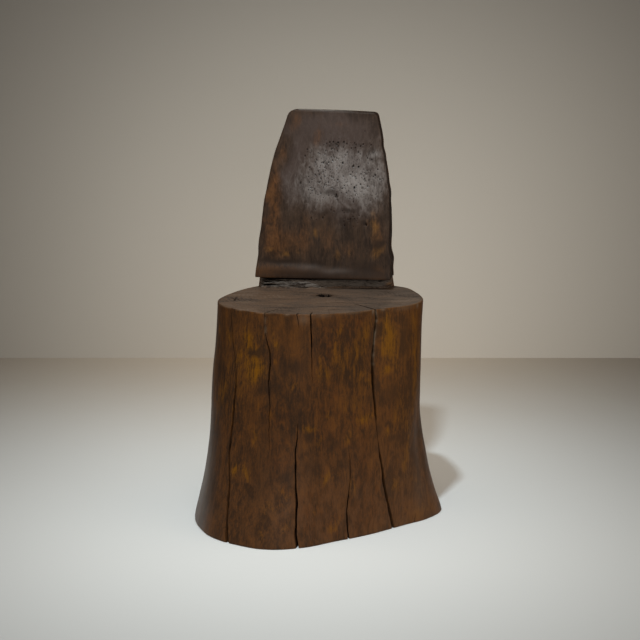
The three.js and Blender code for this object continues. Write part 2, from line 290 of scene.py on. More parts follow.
# Wear, as layers() takes it. Where all the points lie at 0 along an axis, its size is 1.
LOG_WEAR = [
    (0.5, (70, 70, 150), 1), (0.3, (24, 24, 150), 2), (0.14, (9, 9, 55), 3), (0.07, (4, 4, 26), 4),
]
REAR_ROUNDS = 14


def log_radius(angle, height):
    seat = SEAT_RADIUS * around(SEAT_OUTLINE_SHARES, angle)
    base = BASE_RADIUS * around(BASE_OUTLINE_SHARES, angle)
    below = np.maximum(1 - height / SEAT_HEIGHT, 0)
    above = np.maximum(height / SEAT_HEIGHT - 1, 0)
    near = (1 + np.cos(angle - FLARE_SIDE)) / 2
    part = np.clip(height / SEAT_HEIGHT, 0, 1)
    flare = blend(along(FLARE_FAR_SHARES, part), along(FLARE_NEAR_SHARES, part), near)
    flared = (seat + (base - seat) * flare) * (1 - TAPER_SHARE * above)
    flute = (FLUTE_DEPTH * bell(angle - FLUTE_ANGLE, FLUTE_SPREAD)
             * bell(height - FLUTE_HEIGHT, FLUTE_REACH))
    wave = WAVE_DEPTH * np.sin(WAVE_COUNT * angle + WAVE_TWIST * below) * np.sin(math.pi * below) ** 2
    return flared - flute - wave - eased(1 - height / BASE_EASE, BASE_EASE)


def round_points(radius, angle, heights):
    """Points given by their distance from the middle of the log, their angle and their height."""
    return np.stack([radius * np.cos(angle), radius * np.sin(angle), heights], -1)


def log_rear(across, height):
    """How far back the log's rear surface lies at a place across it."""
    angle = np.full(np.broadcast(across, height).shape, math.pi / 2)
    for _ in range(REAR_ROUNDS):
        angle = np.arccos(np.clip(across / log_radius(angle, height), -1, 1))
    radius = log_radius(angle, height)
    points = round_points(radius, angle, height + 0 * angle)
    return (radius - layers(points, LOG_WEAR, 1)) * np.sin(angle)


# Meshes

class Skin:
    """A mesh in the making: points, marks that the materials read, and faces with their place on
    the map that the finish is baked to."""

    def __init__(self, marks):
        self.points = []
        self.marks = {name: [] for name in marks}
        self.faces = {3: [], 4: []}
        self.maps = {3: [], 4: []}
        self.count = 0

    def add(self, points, **marks):
        """Adds an array of points and gives the array of their numbers."""
        shape = points.shape[:-1]
        numbers = self.count + np.arange(math.prod(shape)).reshape(shape)
        self.points.append(points.reshape(-1, 3))
        for name, values in self.marks.items():
            values.append(np.broadcast_to(marks.get(name, 0.0), shape).reshape(-1))
        self.count += numbers.size
        return numbers

    def plan(self, numbers):
        """The places of points as seen from above."""
        return np.concatenate(self.points)[numbers, :2]

    def face(self, numbers, map_places):
        """Adds faces of 3 or 4 corners each, with each corner's place on the map."""
        self.faces[numbers.shape[-1]].append(numbers)
        self.maps[numbers.shape[-1]].append(map_places)

    def sheet(self, numbers, map_low, map_high, closed=False):
        """Adds the faces of a grid whose rows run up and whose columns run to the right."""
        if closed:
            numbers = np.concatenate([numbers, numbers[:, :1]], axis=1)
        rows, columns = numbers.shape
        across = np.linspace(map_low[0], map_high[0], columns)
        upward = np.linspace(map_low[1], map_high[1], rows)
        places = np.stack(np.meshgrid(across, upward), -1)

        def corners(grid):
            turn = [grid[:-1, :-1], grid[:-1, 1:], grid[1:, 1:], grid[1:, :-1]]
            return np.stack(turn, 2).reshape(-1, 4, *grid.shape[2:])

        self.face(corners(numbers), corners(places))

    def build(self, name, replaced):
        points = np.concatenate(self.points)
        numbers, maps = ([np.concatenate(group) for group in table.values() if group]
                         for table in (self.faces, self.maps))
        sizes = np.concatenate([np.full(len(part), part.shape[1]) for part in numbers])
        corners = np.concatenate([part.ravel() for part in numbers])
        mesh = bpy.data.meshes.new(name)
        mesh.vertices.add(len(points))
        mesh.vertices.foreach_set("co", points.ravel())
        mesh.loops.add(len(corners))
        mesh.loops.foreach_set("vertex_index", corners)
        mesh.polygons.add(len(sizes))
        mesh.polygons.foreach_set("loop_start", np.concatenate([[0], np.cumsum(sizes)[:-1]]))
        mesh.update(calc_edges=True)
        layer = mesh.uv_layers.new(name="OFBake")
        layer.data.foreach_set("uv", np.concatenate([part.ravel() for part in maps]))
        for mark, values in self.marks.items():
            attribute = mesh.attributes.new(mark, "FLOAT", "POINT")
            attribute.data.foreach_set("value", np.concatenate(values))
        mesh.validate()
        mesh.shade_smooth()
        mesh.set_sharp_from_angle(angle=SHARP_ANGLE)
        piece = bpy.data.objects.new(name, mesh)
        bpy.context.scene.collection.objects.link(piece)
        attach(piece, "root")
        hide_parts(replaced)
        return piece


def within(points, outline):
    """Which points lie inside a closed outline."""
    inside = np.zeros(len(points), bool)
    for start, end in zip(outline, np.roll(outline, -1, axis=0)):
        spans = (start[1] > points[:, 1]) != (end[1] > points[:, 1])
        slope = (end[0] - start[0]) / ((end[1] - start[1]) or MM * MM)
        inside ^= spans & (points[:, 0] < start[0] + slope * (points[:, 1] - start[1]))
    return inside


def between(points, outline, *holes):
    """Which points lie inside a closed outline and in none of its holes."""
    return within(points, outline) & ~np.any([within(points, hole) for hole in holes], axis=0)


def clear_of(points, others, distance):
    """The points that keep a distance to all the others."""
    tree = KDTree(len(others))
    for number, (across, back) in enumerate(others):
        tree.insert((across, back, 0), number)
    tree.balance()
    return points[[tree.find((across, back, 0))[2] > distance for across, back in points]]


def net(centre, reach, spacing):
    """Points in a triangular pattern within a round area."""
    count = int(reach / spacing) + 1
    rows = np.arange(-count, count + 1)
    across, back = np.meshgrid(rows, rows)
    across = across + 0.5 * (back % 2)
    points = np.stack([across, back * math.sqrt(3) / 2], -1).reshape(-1, 2) * spacing
    points = points[np.hypot(*points.T) < reach]
    return points + np.asarray(centre)


def fill(skin, loop, inner, level, map_middle, map_scale=1, facing_up=True, holes=()):
    """Fills a level outline with faces. Inner points get their height and marks from level()."""
    rings = [loop, *holes]
    outlines = [skin.plan(ring) for ring in rings]
    inner = inner[between(inner, *outlines)]
    heights, marks = level(inner)
    numbers = np.concatenate([*rings, skin.add(np.column_stack([inner, heights]), **marks)])
    plan = np.concatenate([*outlines, inner])
    edges = []
    for ring in rings:
        first = len(edges)
        edges += [(first + step, first + (step + 1) % len(ring)) for step in range(len(ring))]
    result = delaunay_2d_cdt([Vector(place) for place in plan], edges, [], 0, MERGE_DISTANCE)
    originals = np.array([origin[0] if origin else -1 for origin in result[3]])
    corners = originals[np.array(result[2])]
    corners = corners[(corners >= 0).all(axis=1)]
    corners = corners[between(plan[corners].mean(axis=1), *outlines)]
    if not facing_up:
        corners = corners[:, ::-1]
    skin.face(numbers[corners], np.array(map_middle) + plan[corners] * map_scale)


def blind_hole(skin, centre, radius, mouth, depth, map_low, map_high):
    """A round blind hole down or up from a level face. Gives the ring of its mouth."""
    turns = np.arange(HOLE_SIDES) * TURN / HOLE_SIDES
    ring = np.column_stack([centre[0] + radius * np.cos(turns), centre[1] + radius * np.sin(turns)])
    rings = np.array([np.column_stack([ring, np.full(HOLE_SIDES, mouth + depth * share)])
                      for share in (0, 0.5, 1)])
    numbers = skin.add(rings)
    tip = skin.add(np.array([[*centre, mouth + depth]]))[0]
    fan = np.stack([numbers[-1], np.roll(numbers[-1], -1), np.full(HOLE_SIDES, tip)], -1)
    order = slice(None, None, 1 if depth < 0 else -1)
    skin.sheet(numbers[:, order], map_low, map_high, closed=True)
    skin.face(fan[:, order], np.broadcast_to([map_low, map_high, map_low], (*fan.shape, 2)))
    return numbers[0]


def dowel_holes(skin, mouth, depth_sign, map_corner):
    """The blind holes for the three dowels, which stand half in the ledge and half in the slab."""
    rings = []
    for place, side in enumerate(DOWEL_SIDES):
        low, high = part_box(f"back_dowel_{side}")
        centre = ((low.x + high.x) / 2, (low.y + high.y) / 2)
        radius = (high.x - low.x) / 2 + GLUE_LINE
        depth = depth_sign * ((high.z - low.z) / 2 + HOLE_ROOM)
        start = np.array(map_corner) + (0, HOLE_MAP_STEP * place)
        rings.append(blind_hole(skin, centre, radius, mouth, depth, start, start + HOLE_MAP_SIZE))
    return rings


# The log's side

def check_lines(heights):
    """Angle, half width and depth of each drying check at each height."""
    lines = []
    for number, check in enumerate(CHECKS):
        shares, *columns = np.transpose(check)
        angle, width, depth = (np.interp(heights / SEAT_HEIGHT, shares, column) for column in columns)
        jog = 0.5 * MM * (wander(heights, 30 * MM, 40 + number) + wander(heights, 9 * MM, 60 + number))
        frayed = 1 + 0.25 * wander(heights, 14 * MM, 80 + number)
        half_width = np.maximum(CHECK_SPREAD * (width * MM) * frayed, CLOSED_WIDTH) / 2
        lines.append((angle * DEGREE + jog / SEAT_RADIUS, half_width, depth * MM))
    return lines


def lip_highlights(number, heights):
    """How pale the painted highlight on the lips of a check is."""
    if number not in CHECK_LIP_HIGHLIGHTS:
        return np.zeros(len(heights))
    low, high = (share * SEAT_HEIGHT for share in CHECK_LIP_HIGHLIGHTS[number])
    broken = rise_between(-0.5, 0.6, wander(heights, 6 * MM, 100 + number))
    return rise_between(low, high, heights) * blend(0.15, 1, broken)


def side_columns(heights):
    """Angle, check depth and painted lip highlight of every column of points at each height."""
    clusters = []
    for number, (angle, half_width, depth) in enumerate(check_lines(heights)):
        radius = log_radius(angle, heights)
        aside = CHECK_COLUMNS[:, 0] * half_width[:, None] + CHECK_COLUMNS[:, 1]
        clusters.append(np.stack([angle[:, None] + aside / radius[:, None],
                                  depth[:, None] * CHECK_COLUMNS[:, 2],
                                  lip_highlights(number, heights)[:, None] * LIP_HIGHLIGHT_COLUMNS]))
    free = LOG_COLUMNS - len(CHECKS) * len(CHECK_COLUMNS)
    starts = [cluster[0, :, -1] for cluster in clusters]
    ends = [cluster[0, :, 0] for cluster in clusters[1:]] + [clusters[0][0, :, 0] + TURN]
    gaps = np.array([np.mean(end - start) for start, end in zip(starts, ends)])
    marks = np.round(np.concatenate([[0], np.cumsum(gaps / gaps.sum() * free)])).astype(int)
    groups = []
    for cluster, start, end, count in zip(clusters, starts, ends, np.diff(marks)):
        parts = np.arange(1, count + 1) / (count + 1)
        plain = start[:, None] + (end - start)[:, None] * parts
        groups += [cluster, np.stack([plain, 0 * plain, 0 * plain])]
    return np.concatenate(groups, axis=2)


def inward(points, distance):
    """Points moved level towards the pith."""
    offset = PITH - points[..., :2]
    away = np.hypot(offset[..., 0], offset[..., 1])[..., None]
    moved = points.copy()
    moved[..., :2] += offset / away * distance[..., None]
    return moved


# The sawn tops of the seat and the ledge, and the sawn foot

SEAT_WEAR = [(0.35, (70, 55, 1), 11), (0.12, (40, 4, 1), 12), (0.07, (5, 5, 1), 13)]
LEDGE_TOP_WEAR = [(0.4, (25, 6, 1), 14)]
PITH_CHECK_LENGTH = 36 * MM
PITH_CHECK_WIDTH = 40 * MM
PITH_CHECK_DEPTH = 20 * MM
PITH_CHECK_TURN = 14 * DEGREE
KNOT_PLACE = np.array([-168 * MM, -27 * MM])
KNOT_REACH = 9 * MM
KNOT_STRETCH = 2.6
KNOT_RAYS = 4
KNOT_DEPTH = 1.8 * MM
# Light chips and rubbed spots: across, back, half width and half depth in millimetres, strength
SEAT_CHIPS = [
    (124, -136, 4, 3, 1.0), (196, -34, 4, 5, 0.8), (96, -62, 12, 3, 0.4), (-66, -90, 4, 10, 0.4),
    (-140, -60, 16, 10, 0.3), (150, -60, 14, 8, 0.3), (20, -186, 40, 3, 0.5), (110, -150, 14, 3, 0.5),
]


def pith_check(plan):
    """1 in the middle of the split at the pith, 0 outside it."""
    offset = plan - PITH
    lengthwise = offset[:, 0] * math.cos(PITH_CHECK_TURN) + offset[:, 1] * math.sin(PITH_CHECK_TURN)
    sideways = offset[:, 1] * math.cos(PITH_CHECK_TURN) - offset[:, 0] * math.sin(PITH_CHECK_TURN)
    part = np.clip(np.abs(lengthwise) / (PITH_CHECK_LENGTH / 2), 0, 1)
    ragged = 1 + 0.35 * wander(lengthwise, 6 * MM, 21) + 0.14 * wander(sideways, 7 * MM, 22)
    half_width = PITH_CHECK_WIDTH / 2 * (1 - part ** 2) * ragged
    return rise_between(1.05, 0.85, np.abs(sideways) / np.maximum(half_width, 0.01 * MM))


def knot_star(plan):
    """A small knot with short splits in the seat, near its left rim."""
    offset = plan - KNOT_PLACE
    aside = offset[:, 0] + 0.2 * offset[:, 1]
    behind = offset[:, 1] / KNOT_STRETCH
    turn = KNOT_RAYS * np.arctan2(behind, aside) + 1 + wander(behind, 2 * MM, 25)
    rays = 0.5 + 0.5 * np.cos(turn)
    return bell(np.hypot(aside, behind), KNOT_REACH * (0.25 + 0.75 * rays ** 2))


def seat_chips(plan):
    total = np.zeros(len(plan))
    for *centre, half_width, half_depth, strength in SEAT_CHIPS:
        aside, behind = (plan / MM - centre).T
        total = np.maximum(total, strength * bell(aside, half_width) * bell(behind, half_depth))
    return total


def seat_level(plan):
    split = pith_check(plan)
    knot = knot_star(plan)
    sunk = layers(on_level(plan), SEAT_WEAR, 1) + PITH_CHECK_DEPTH * split + KNOT_DEPTH * knot
    # The split at the pith is painted black as painted shade, and the knot and its splits are darkened
    return SEAT_HEIGHT - sunk, {"seat": 1.0, "pale": 0.9 * seat_chips(plan),
                                "cleft": np.maximum(rise_between(0, 0.02, split), 0.9 * knot)}


def ledge_level(plan):
    return SEAM_HEIGHT - layers(on_level(plan), LEDGE_TOP_WEAR, 1), {"seat": 0.4, "torn": 0.5}


def underside_level(plan):
    return np.zeros(len(plan)), {"seat": 1.0}


# The ledge's torn front

LEDGE_TEARS = [(2.4, (60, 1, 8), 31), (1.8, (24, 1, 4), 32), (0.7, (9, 1, 1.6), 33)]
# Splits that run in from the ledge's left end: height over the seat, thickness at the left end,
# where they end across the log, slope
LEDGE_SPLITS = [
    (17.5 * MM, 3.2 * MM, -72 * MM, -0.05),
    (12 * MM, 3 * MM, -100 * MM, 0.02),
    (5 * MM, 3.6 * MM, -84 * MM, 0.03),
]
LEDGE_SPLIT_DEPTH = 22 * MM
LEDGE_RECESS = 4 * MM
LEDGE_LEFT = -146 * MM
LEDGE_INSET = 7 * MM
KNOB_PLACE = (121 * MM, 7 * MM)
KNOB_REACH = 5 * MM
KNOB_HEIGHT = 5 * MM


def ledge_knob(across, upward):
    return bell(across - KNOB_PLACE[0], KNOB_REACH) * bell(upward - KNOB_PLACE[1], KNOB_REACH)


def torn_depth(across, upward):
    """How far the torn wood lies behind the ledge's line."""
    depth = layers(on_front(across, upward), LEDGE_TEARS)
    for height, thickness, end, slope in LEDGE_SPLITS:
        part = np.clip((end - across) / (end - LEDGE_LEFT), 0, 1.2)
        middle = height + slope * (across - LEDGE_LEFT) + 0.8 * MM * wander(across, 15 * MM, 34)
        half = thickness / 2 * part + 0.2 * MM
        depth += LEDGE_SPLIT_DEPTH * np.minimum(part, 1) ** 0.7 * bell(upward - middle, half)
    recess = rise_between(LEDGE_HEIGHT - 7 * MM, LEDGE_HEIGHT - 4 * MM, upward)
    return depth + LEDGE_RECESS * recess - KNOB_HEIGHT * ledge_knob(across, upward)


def ledge_line():
    """The ledge's front from right to left, between its two ends just inside the log."""
    stretches = np.hypot(*np.diff(LEDGE_LINE_SHARES, axis=0).T)
    lengths = np.concatenate([[0], np.cumsum(stretches)])
    fine = np.linspace(0, lengths[-1], LINE_STEPS)
    line = np.column_stack([np.interp(fine, lengths, shares) for shares in LEDGE_LINE_SHARES.T])
    line = line[::-1] * SEAT_RADIUS
    angle = np.arctan2(line[:, 1], line[:, 0])
    line = line[np.hypot(*line.T) < log_radius(angle, SEAM_HEIGHT) - LEDGE_INSET]
    picks = np.linspace(0, len(line) - 1, TORN_COLUMNS).round().astype(int)
    near = picks[:, None] + np.arange(-LINE_BLUR, LINE_BLUR + 1)
    return line[np.clip(near, 0, len(line) - 1)].mean(axis=1)


def ledge_front(skin, line):
    """The torn wall between the seat and the ledge's top. Gives the numbers of its points."""
    ahead = np.gradient(line, axis=0)
    ahead /= np.hypot(*ahead.T)[:, None]
    back = np.column_stack([ahead[:, 1], -ahead[:, 0]])
    across, upward = np.meshgrid(line[:, 0], np.linspace(0, LEDGE_HEIGHT, TORN_ROWS + 1))
    order = np.arange(len(line))
    depth = torn_depth(across, upward) * np.clip(np.minimum(order, order[::-1]) / TORN_END_COLUMNS, 0, 1)
    plan = line + back * depth[..., None]
    wall = np.concatenate([plan, (SEAT_HEIGHT + upward)[..., None]], axis=-1)
    wall[0, :, 2] -= layers(on_level(plan[0]), SEAT_WEAR, 1)

    # The deep splits and the top under the slab's overhang are painted black: painted shade in the splits and
    # a painted shadow under the slab
    hollow = rise_between(4 * MM, 14 * MM, depth)
    shadow_under_slab = rise_between(LEDGE_HEIGHT - 5.5 * MM, LEDGE_HEIGHT - 3.5 * MM, upward)
    frayed = upward + 1.5 * MM * wander(across, 12 * MM, 35)
    run_out = blend(3 * MM, 5 * MM, rise_between(-60 * MM, 60 * MM, across))
    foot = rise_between(run_out, run_out - 3 * MM, frayed) * (1 - hollow)
    numbers = skin.add(wall, torn=1 - foot, seat=1.0, cleft=np.maximum(hollow, shadow_under_slab),
                       gold=0.7 * ledge_knob(across, upward))
    skin.sheet(numbers[:, ::-1], *LEDGE_MAP)
    return numbers


def close_ledge_ends(skin, wall, seat_rim, ledge_rim):
    """Fans of faces between the two ends of the torn wall and the log's side."""
    middle = TORN_ROWS // 2
    right = (seat_rim[-1], ledge_rim[0])
    left = (seat_rim[0], ledge_rim[-1])
    fans = [(wall[middle, 0], *right), (left[0], wall[middle, -1], left[1])]
    for row in range(TORN_ROWS):
        level = int(row >= middle)
        fans.append((wall[row, 0], right[level], wall[row + 1, 0]))
        fans.append((left[level], wall[row, -1], wall[row + 1, -1]))
    fans = np.array(fans)
    skin.face(fans, np.broadcast_to(LEDGE_END_MAP, (*fans.shape, 2)))


# The whole log

def log_side(skin, line):
    """The log's side, up to the seat at the front and to the slab at the ledge. Gives the numbers
    of the points along the seat's rim, the ledge's rim and the foot."""
    split_height = SEAT_HEIGHT - 2 * RIM_EASE
    lower = np.concatenate([BASE_EASE * FOOT_ROW_SHARES, np.linspace(BASE_EASE, split_height, LOG_ROWS)])
    columns = side_columns(np.append(lower, SEAT_HEIGHT))
    top_angle = columns[0, -1]
    turned = half_turned(top_angle)
    right, left = (math.atan2(back, across) for across, back in (line[0], line[-1]))
    on_ledge = (turned >= right) & (turned <= left)

    # The rows above the split height end higher at the ledge than at the seat
    rim_height = np.where(on_ledge, SEAM_HEIGHT, SEAT_HEIGHT)
    chips = 0.5 + 0.5 * wander(top_angle * SEAT_RADIUS, 16 * MM, 23)
    rim_ease = np.where(on_ledge, SEAM_EASE, RIM_EASE * (0.6 + 0.2 * chips))
    parts = np.arange(1, RIM_ROWS + 1)[:, None] / RIM_ROWS
    turns = RIM_TURNS[:, None]
    upper = np.concatenate([blend(split_height, rim_height - rim_ease, parts),
                            rim_height - rim_ease * (1 - np.sin(turns))])
    inset = np.zeros((len(lower) + len(upper), len(top_angle)))
    inset[-len(turns):] = rim_ease * (1 - np.cos(turns))

    heights = np.concatenate([np.tile(lower[:, None], len(top_angle)), upper])
    parts = np.clip((upper - split_height) / (SEAT_HEIGHT - split_height), 0, 1)
    risen = blend(columns[:, -2:-1], columns[:, -1:], parts)
    angles, depths, pale = np.concatenate([columns[:, :-1], risen], axis=1)
    radius = log_radius(angles, heights)
    worn = layers(round_points(radius, angles, heights), LOG_WEAR, 1) + inset
    points = inward(round_points(radius - worn, angles, heights), depths)
    seat_columns = np.flatnonzero(~on_ledge)
    points[-1, seat_columns, 2] -= layers(on_level(points[-1, seat_columns, :2]), SEAT_WEAR, 1)

    # Along the seat's rim the wood is rubbed pale and also carries a painted highlight
    rim = rise_between(SEAT_HEIGHT - 3 * MM, SEAT_HEIGHT - 1 * MM, heights) * ~on_ledge
    rubbed_and_highlit = rim * rise_between(-0.6, 0.8, wander(angles * SEAT_RADIUS, 17 * MM, 24))
    marks = side_marks(points, half_turned(angles) / DEGREE)
    # The pale mark holds real chips and rubbing, and painted highlights on the checks' lips and the rim
    marks["pale"] = np.maximum(marks["pale"], np.maximum(pale, 0.35 * rubbed_and_highlit))
    # Inside the checks the colour is painted black, by depth: painted shade
    side = skin.add(points, cleft=rise_between(0.3 * MM, 2 * MM, depths), **marks)
    skin.sheet(side, *SIDE_MAP, closed=True)

    ledge_columns = np.flatnonzero(on_ledge)
    ledge_columns = ledge_columns[np.argsort(turned[ledge_columns])]
    seat_columns = (ledge_columns[-1] + 1 + np.arange(len(seat_columns))) % len(top_angle)
    return side[-1, seat_columns], side[-1, ledge_columns], side[0]


def build_trunk():
    skin = Skin(("cleft", "torn", "seat", "gold", "soot", "rust", "sheen", "pale"))
    line = ledge_line()
    seat_rim, ledge_rim, foot_rim = log_side(skin, line)
    wall = ledge_front(skin, line)
    close_ledge_ends(skin, wall, seat_rim, ledge_rim)

    seat_loop = np.concatenate([seat_rim, wall[0]])
    outline = skin.plan(seat_loop)
    fine = net(PITH, 24 * MM, 0.9 * MM)
    knot = clear_of(net(KNOT_PLACE, 26 * MM, 1.2 * MM), outline, 0.8 * MM)
    broad = clear_of(net((0, 0), 250 * MM, 2.5 * MM), np.concatenate([fine, knot, outline]), 1.5 * MM)
    fill(skin, seat_loop, np.concatenate([fine, knot, broad]), seat_level, SEAT_MAP)

    ledge_loop = np.concatenate([ledge_rim, wall[-1, ::-1]])
    holes = dowel_holes(skin, SEAM_HEIGHT, -1, LEDGE_HOLE_MAP)
    rims = skin.plan(np.concatenate([ledge_loop, *holes]))
    inner = clear_of(net((0, 0.13), 200 * MM, 4 * MM), rims, 2.4 * MM)
    fill(skin, ledge_loop, inner, ledge_level, SEAT_MAP, holes=holes)
    inner = clear_of(net((0, 0), 260 * MM, 14 * MM), skin.plan(foot_rim), 8 * MM)
    fill(skin, foot_rim, inner, underside_level, UNDERSIDE_MAP, UNDERSIDE_MAP_SCALE, facing_up=False)
    return skin.build("trunk_finish", "trunk")


# Patches of colour on the log's side: angle in degrees, height, half width and half height in
# millimetres, strength
GOLD_PATCHES = [
    (-122, 393, 10, 15, 0.6), (-118, 336, 15, 20, 0.65), (-121, 365, 16, 38, 0.4), (-140, 396, 7, 8, 0.5),
    (-132, 360, 6, 9, 0.5), (-108, 395, 6, 8, 0.5), (-107, 363, 4, 6, 0.4), (-140, 287, 9, 14, 0.4),
    (-69, 409, 10, 7, 0.4), (-80, 344, 6, 20, 0.5), (-57, 368, 14, 12, 0.32), (-32, 384, 13, 28, 0.9),
    (-152, 405, 5, 16, 0.5), (-154, 320, 6, 45, 0.45), (-132, 330, 22, 70, 0.22), (-35, 326, 12, 7, 0.9),
    (-9, 311, 7, 17, 0.4), (-118, 210, 3, 11, 0.5), (-110, 263, 15, 10, 0.3), (-51, 234, 15, 8, 0.6),
    (-88, 225, 8, 7, 0.6), (-77, 246, 9, 10, 0.5), (-66, 203, 12, 8, 0.4), (-83, 201, 5, 12, 0.5),
    (-127, 131, 5, 10, 1.0), (-120, 139, 8, 8, 0.6), (-77, 125, 11, 8, 0.6), (-33, 201, 11, 11, 0.5),
    (-17, 133, 4, 9, 0.6), (-26, 91, 13, 12, 0.5), (-8, 91, 21, 9, 0.35), (-4, 25, 29, 11, 0.4),
    (-109, 33, 5, 6, 0.6), (-101, 99, 9, 7, 0.35), (-105, 74, 8, 7, 0.3), (-98, 36, 4, 6, 0.5),
    (-85, 64, 3, 13, 0.45), (-74, 36, 9, 9, 0.6), (-61, 107, 5, 19, 0.4), (-52, 145, 13, 9, 0.35),
    (-142, 269, 11, 16, 0.3), (-49, 306, 7, 10, 0.3), (-96, 310, 6, 10, 0.35), (-148, 250, 10, 50, 0.3),
    (-34, 404, 10, 26, 0.65), (-26, 362, 12, 30, 0.4), (-12, 350, 8, 70, 0.6), (-5, 350, 5, 60, 0.5),
    (-10, 240, 10, 60, 0.4), (-24, 240, 14, 30, 0.3), (-16, 170, 12, 50, 0.4), (-50, 400, 14, 24, 0.4),
    (-70, 372, 20, 30, 0.35), (-56, 330, 24, 30, 0.3), (-60, 270, 24, 26, 0.25), (4, 320, 12, 60, 0.4),
    (20, 240, 20, 60, 0.45), (45, 330, 18, 60, 0.5), (75, 180, 22, 50, 0.5), (100, 360, 20, 50, 0.5),
    (135, 250, 20, 60, 0.5), (165, 160, 20, 40, 0.5), (-170, 330, 18, 60, 0.45), (150, 380, 16, 40, 0.4),
    (60, 60, 20, 30, 0.4),
]
SOOT_PATCHES = [
    (-134, 360, 3, 22, 0.8), (-136.5, 400, 3, 26, 0.7), (-138, 436, 3, 14, 0.7), (-111, 330, 5, 60, 0.35),
    (-41, 205, 6, 14, 0.8), (-122, 350, 20, 4, 0.5), (-118, 369, 18, 5, 1.0), (-103, 423, 16, 9, 0.5),
    (-97, 347, 25, 13, 0.6), (-71, 338, 14, 17, 0.5), (-54, 347, 20, 7, 0.35), (-20, 386, 8, 28, 0.85),
    (-28, 273, 16, 18, 0.7), (-33, 300, 5, 30, 0.4), (-12, 250, 10, 20, 0.5), (-88, 210, 6, 7, 0.7),
    (-76, 202, 11, 11, 0.7), (-87, 157, 14, 16, 0.6), (-70, 153, 10, 11, 0.5), (-73, 253, 8, 5, 0.6),
    (-40, 172, 10, 8, 0.7), (-27, 184, 20, 7, 0.8), (-19, 99, 11, 13, 0.8), (-102, 131, 17, 9, 0.5),
    (-141, 146, 25, 39, 0.25), (-112, 150, 26, 75, 0.42), (-113, 34, 8, 6, 0.6), (-84, 52, 6, 8, 0.5),
    (-110, 303, 8, 9, 0.6), (-100, 279, 10, 5, 0.6), (-64, 278, 13, 14, 0.4), (-39, 28, 16, 7, 0.5),
    (7, 46, 7, 11, 0.5), (-92, 402, 16, 19, 0.35), (-56, 41, 14, 11, 0.35), (-145, 420, 17, 8, 0.4),
    (-131, 427, 10, 8, 0.35), (-48, 194, 9, 16, 0.35), (-120, 273, 10, 18, 0.35), (-38, 268, 14, 15, 0.4),
    (30, 130, 40, 50, 0.5), (80, 300, 40, 60, 0.5), (120, 120, 40, 50, 0.5), (160, 300, 30, 60, 0.5),
    (-160, 180, 26, 70, 0.4),
]
RUST_PATCHES = [
    (-57, 440, 12, 9, 0.9), (-75, 250, 30, 60, 0.4), (-62, 30, 30, 30, 0.4), (-107, 363, 8, 10, 0.6),
    (-52, 150, 26, 60, 0.5), (-88, 60, 20, 40, 0.4), (-103, 180, 26, 60, 0.4), (-35, 326, 12, 12, 0.8),
    (-72, 400, 36, 40, 0.5), (-30, 260, 26, 60, 0.4), (-44, 60, 20, 40, 0.4), (-54, 235, 16, 14, 0.6),
    (-74, 36, 10, 12, 0.8), (-110, 263, 20, 14, 0.5),
]
# Where the wood is rubbed pale under the rim, and light chips in the rim
PALE_PATCHES = [
    (-91.5, 441, 9, 7, 0.35), (-80, 447, 14, 3, 0.25), (-60, 448, 20, 2, 0.25), (-20, 446, 20, 3, 0.25),
    (-44.4, 447, 2, 4, 1.0), (-8.5, 446, 3, 4, 0.8), (-37, 448, 4, 2, 0.6), (-101, 449, 4, 2, 0.5),
]
# Where the polish shows as a grey sheen: a coat on the material and a painted sheen in the colour
SHEEN_PATCHES = [
    (-157, 90, 26, 70, 1.0), (-150, 30, 30, 24, 0.5), (-163, 260, 16, 120, 0.7), (-4, 160, 8, 50, 0.5),
    (2, 330, 12, 80, 0.4), (-6, 60, 12, 30, 0.3),
]

PATCH_SPREAD = 1.35


def painted(patches, sideways, upward):
    """The strength of a list of soft patches at given heights. Calling sideways() with a patch's
    middle gives the distance from it along the surface."""
    total = np.zeros_like(upward)
    reach = PATCH_SPREAD * MM
    for middle, height, half_width, half_height, strength in patches:
        near = bell(sideways(middle), half_width * reach) * bell(upward - height * MM, half_height * reach)
        total = 1 - (1 - total) * (1 - strength * near)
    return total


def side_marks(points, degrees):
    """The patches on the log's side. Those of gold, dark patches and rust have frayed edges."""
    upward = points[..., 2]
    frayed = degrees + 3 * lumps(points, (15 * MM, 15 * MM, 30 * MM), 71)
    frayed += 1.5 * lumps(points, (6 * MM, 6 * MM, 16 * MM), 72)
    shifted = upward + 13 * MM * lumps(points, (11 * MM, 11 * MM, 30 * MM), 73)

    def from_frayed(angle):
        return half_turned((frayed - angle) * DEGREE) * SEAT_RADIUS

    def from_plain(angle):
        return half_turned((degrees - angle) * DEGREE) * SEAT_RADIUS

    return {
        "gold": painted(GOLD_PATCHES, from_frayed, shifted),
        "soot": painted(SOOT_PATCHES, from_frayed, shifted),
        "rust": painted(RUST_PATCHES, from_frayed, shifted),
        "sheen": painted(SHEEN_PATCHES, from_plain, upward),
        "pale": painted(PALE_PATCHES, from_plain, upward),
    }


# The back slab

BACK_ROWS = 230
BACK_FRONT_COLUMNS = 190
BACK_REAR_COLUMNS = 90
BACK_SIDE_COLUMNS = 10
# Where the front's points lie closest, for the pits: from and to in shares of its width and of its
# height, and how much closer they lie there
CLOSE_ACROSS = (0.33, 0.95, 2.1)
CLOSE_UP = (0.4, 0.86, 1.8)
SPREAD_STEPS = 2001
BACK_EDGE_TURNS = np.array([0, 30, 60, 90]) * DEGREE
BACK_CORNER_TURNS = np.linspace(0, 90, 13)[1:] * DEGREE
FOOT_EASE = 0.6 * MM
FOOT_EASE_HEIGHT = 1 * MM


def spread(count, start, end, weight):
    """Shares from 0 to 1 that lie closer together between two places."""
    fine = np.linspace(0, 1, SPREAD_STEPS)
    density = 1 + (weight - 1) * (rise_between(start - 0.15, start + 0.05, fine)
                                  - rise_between(end - 0.05, end + 0.15, fine))
    total = np.concatenate([[0], np.cumsum((density[1:] + density[:-1]) / 2)])
    return np.interp(np.linspace(0, total[-1], count), total, fine)


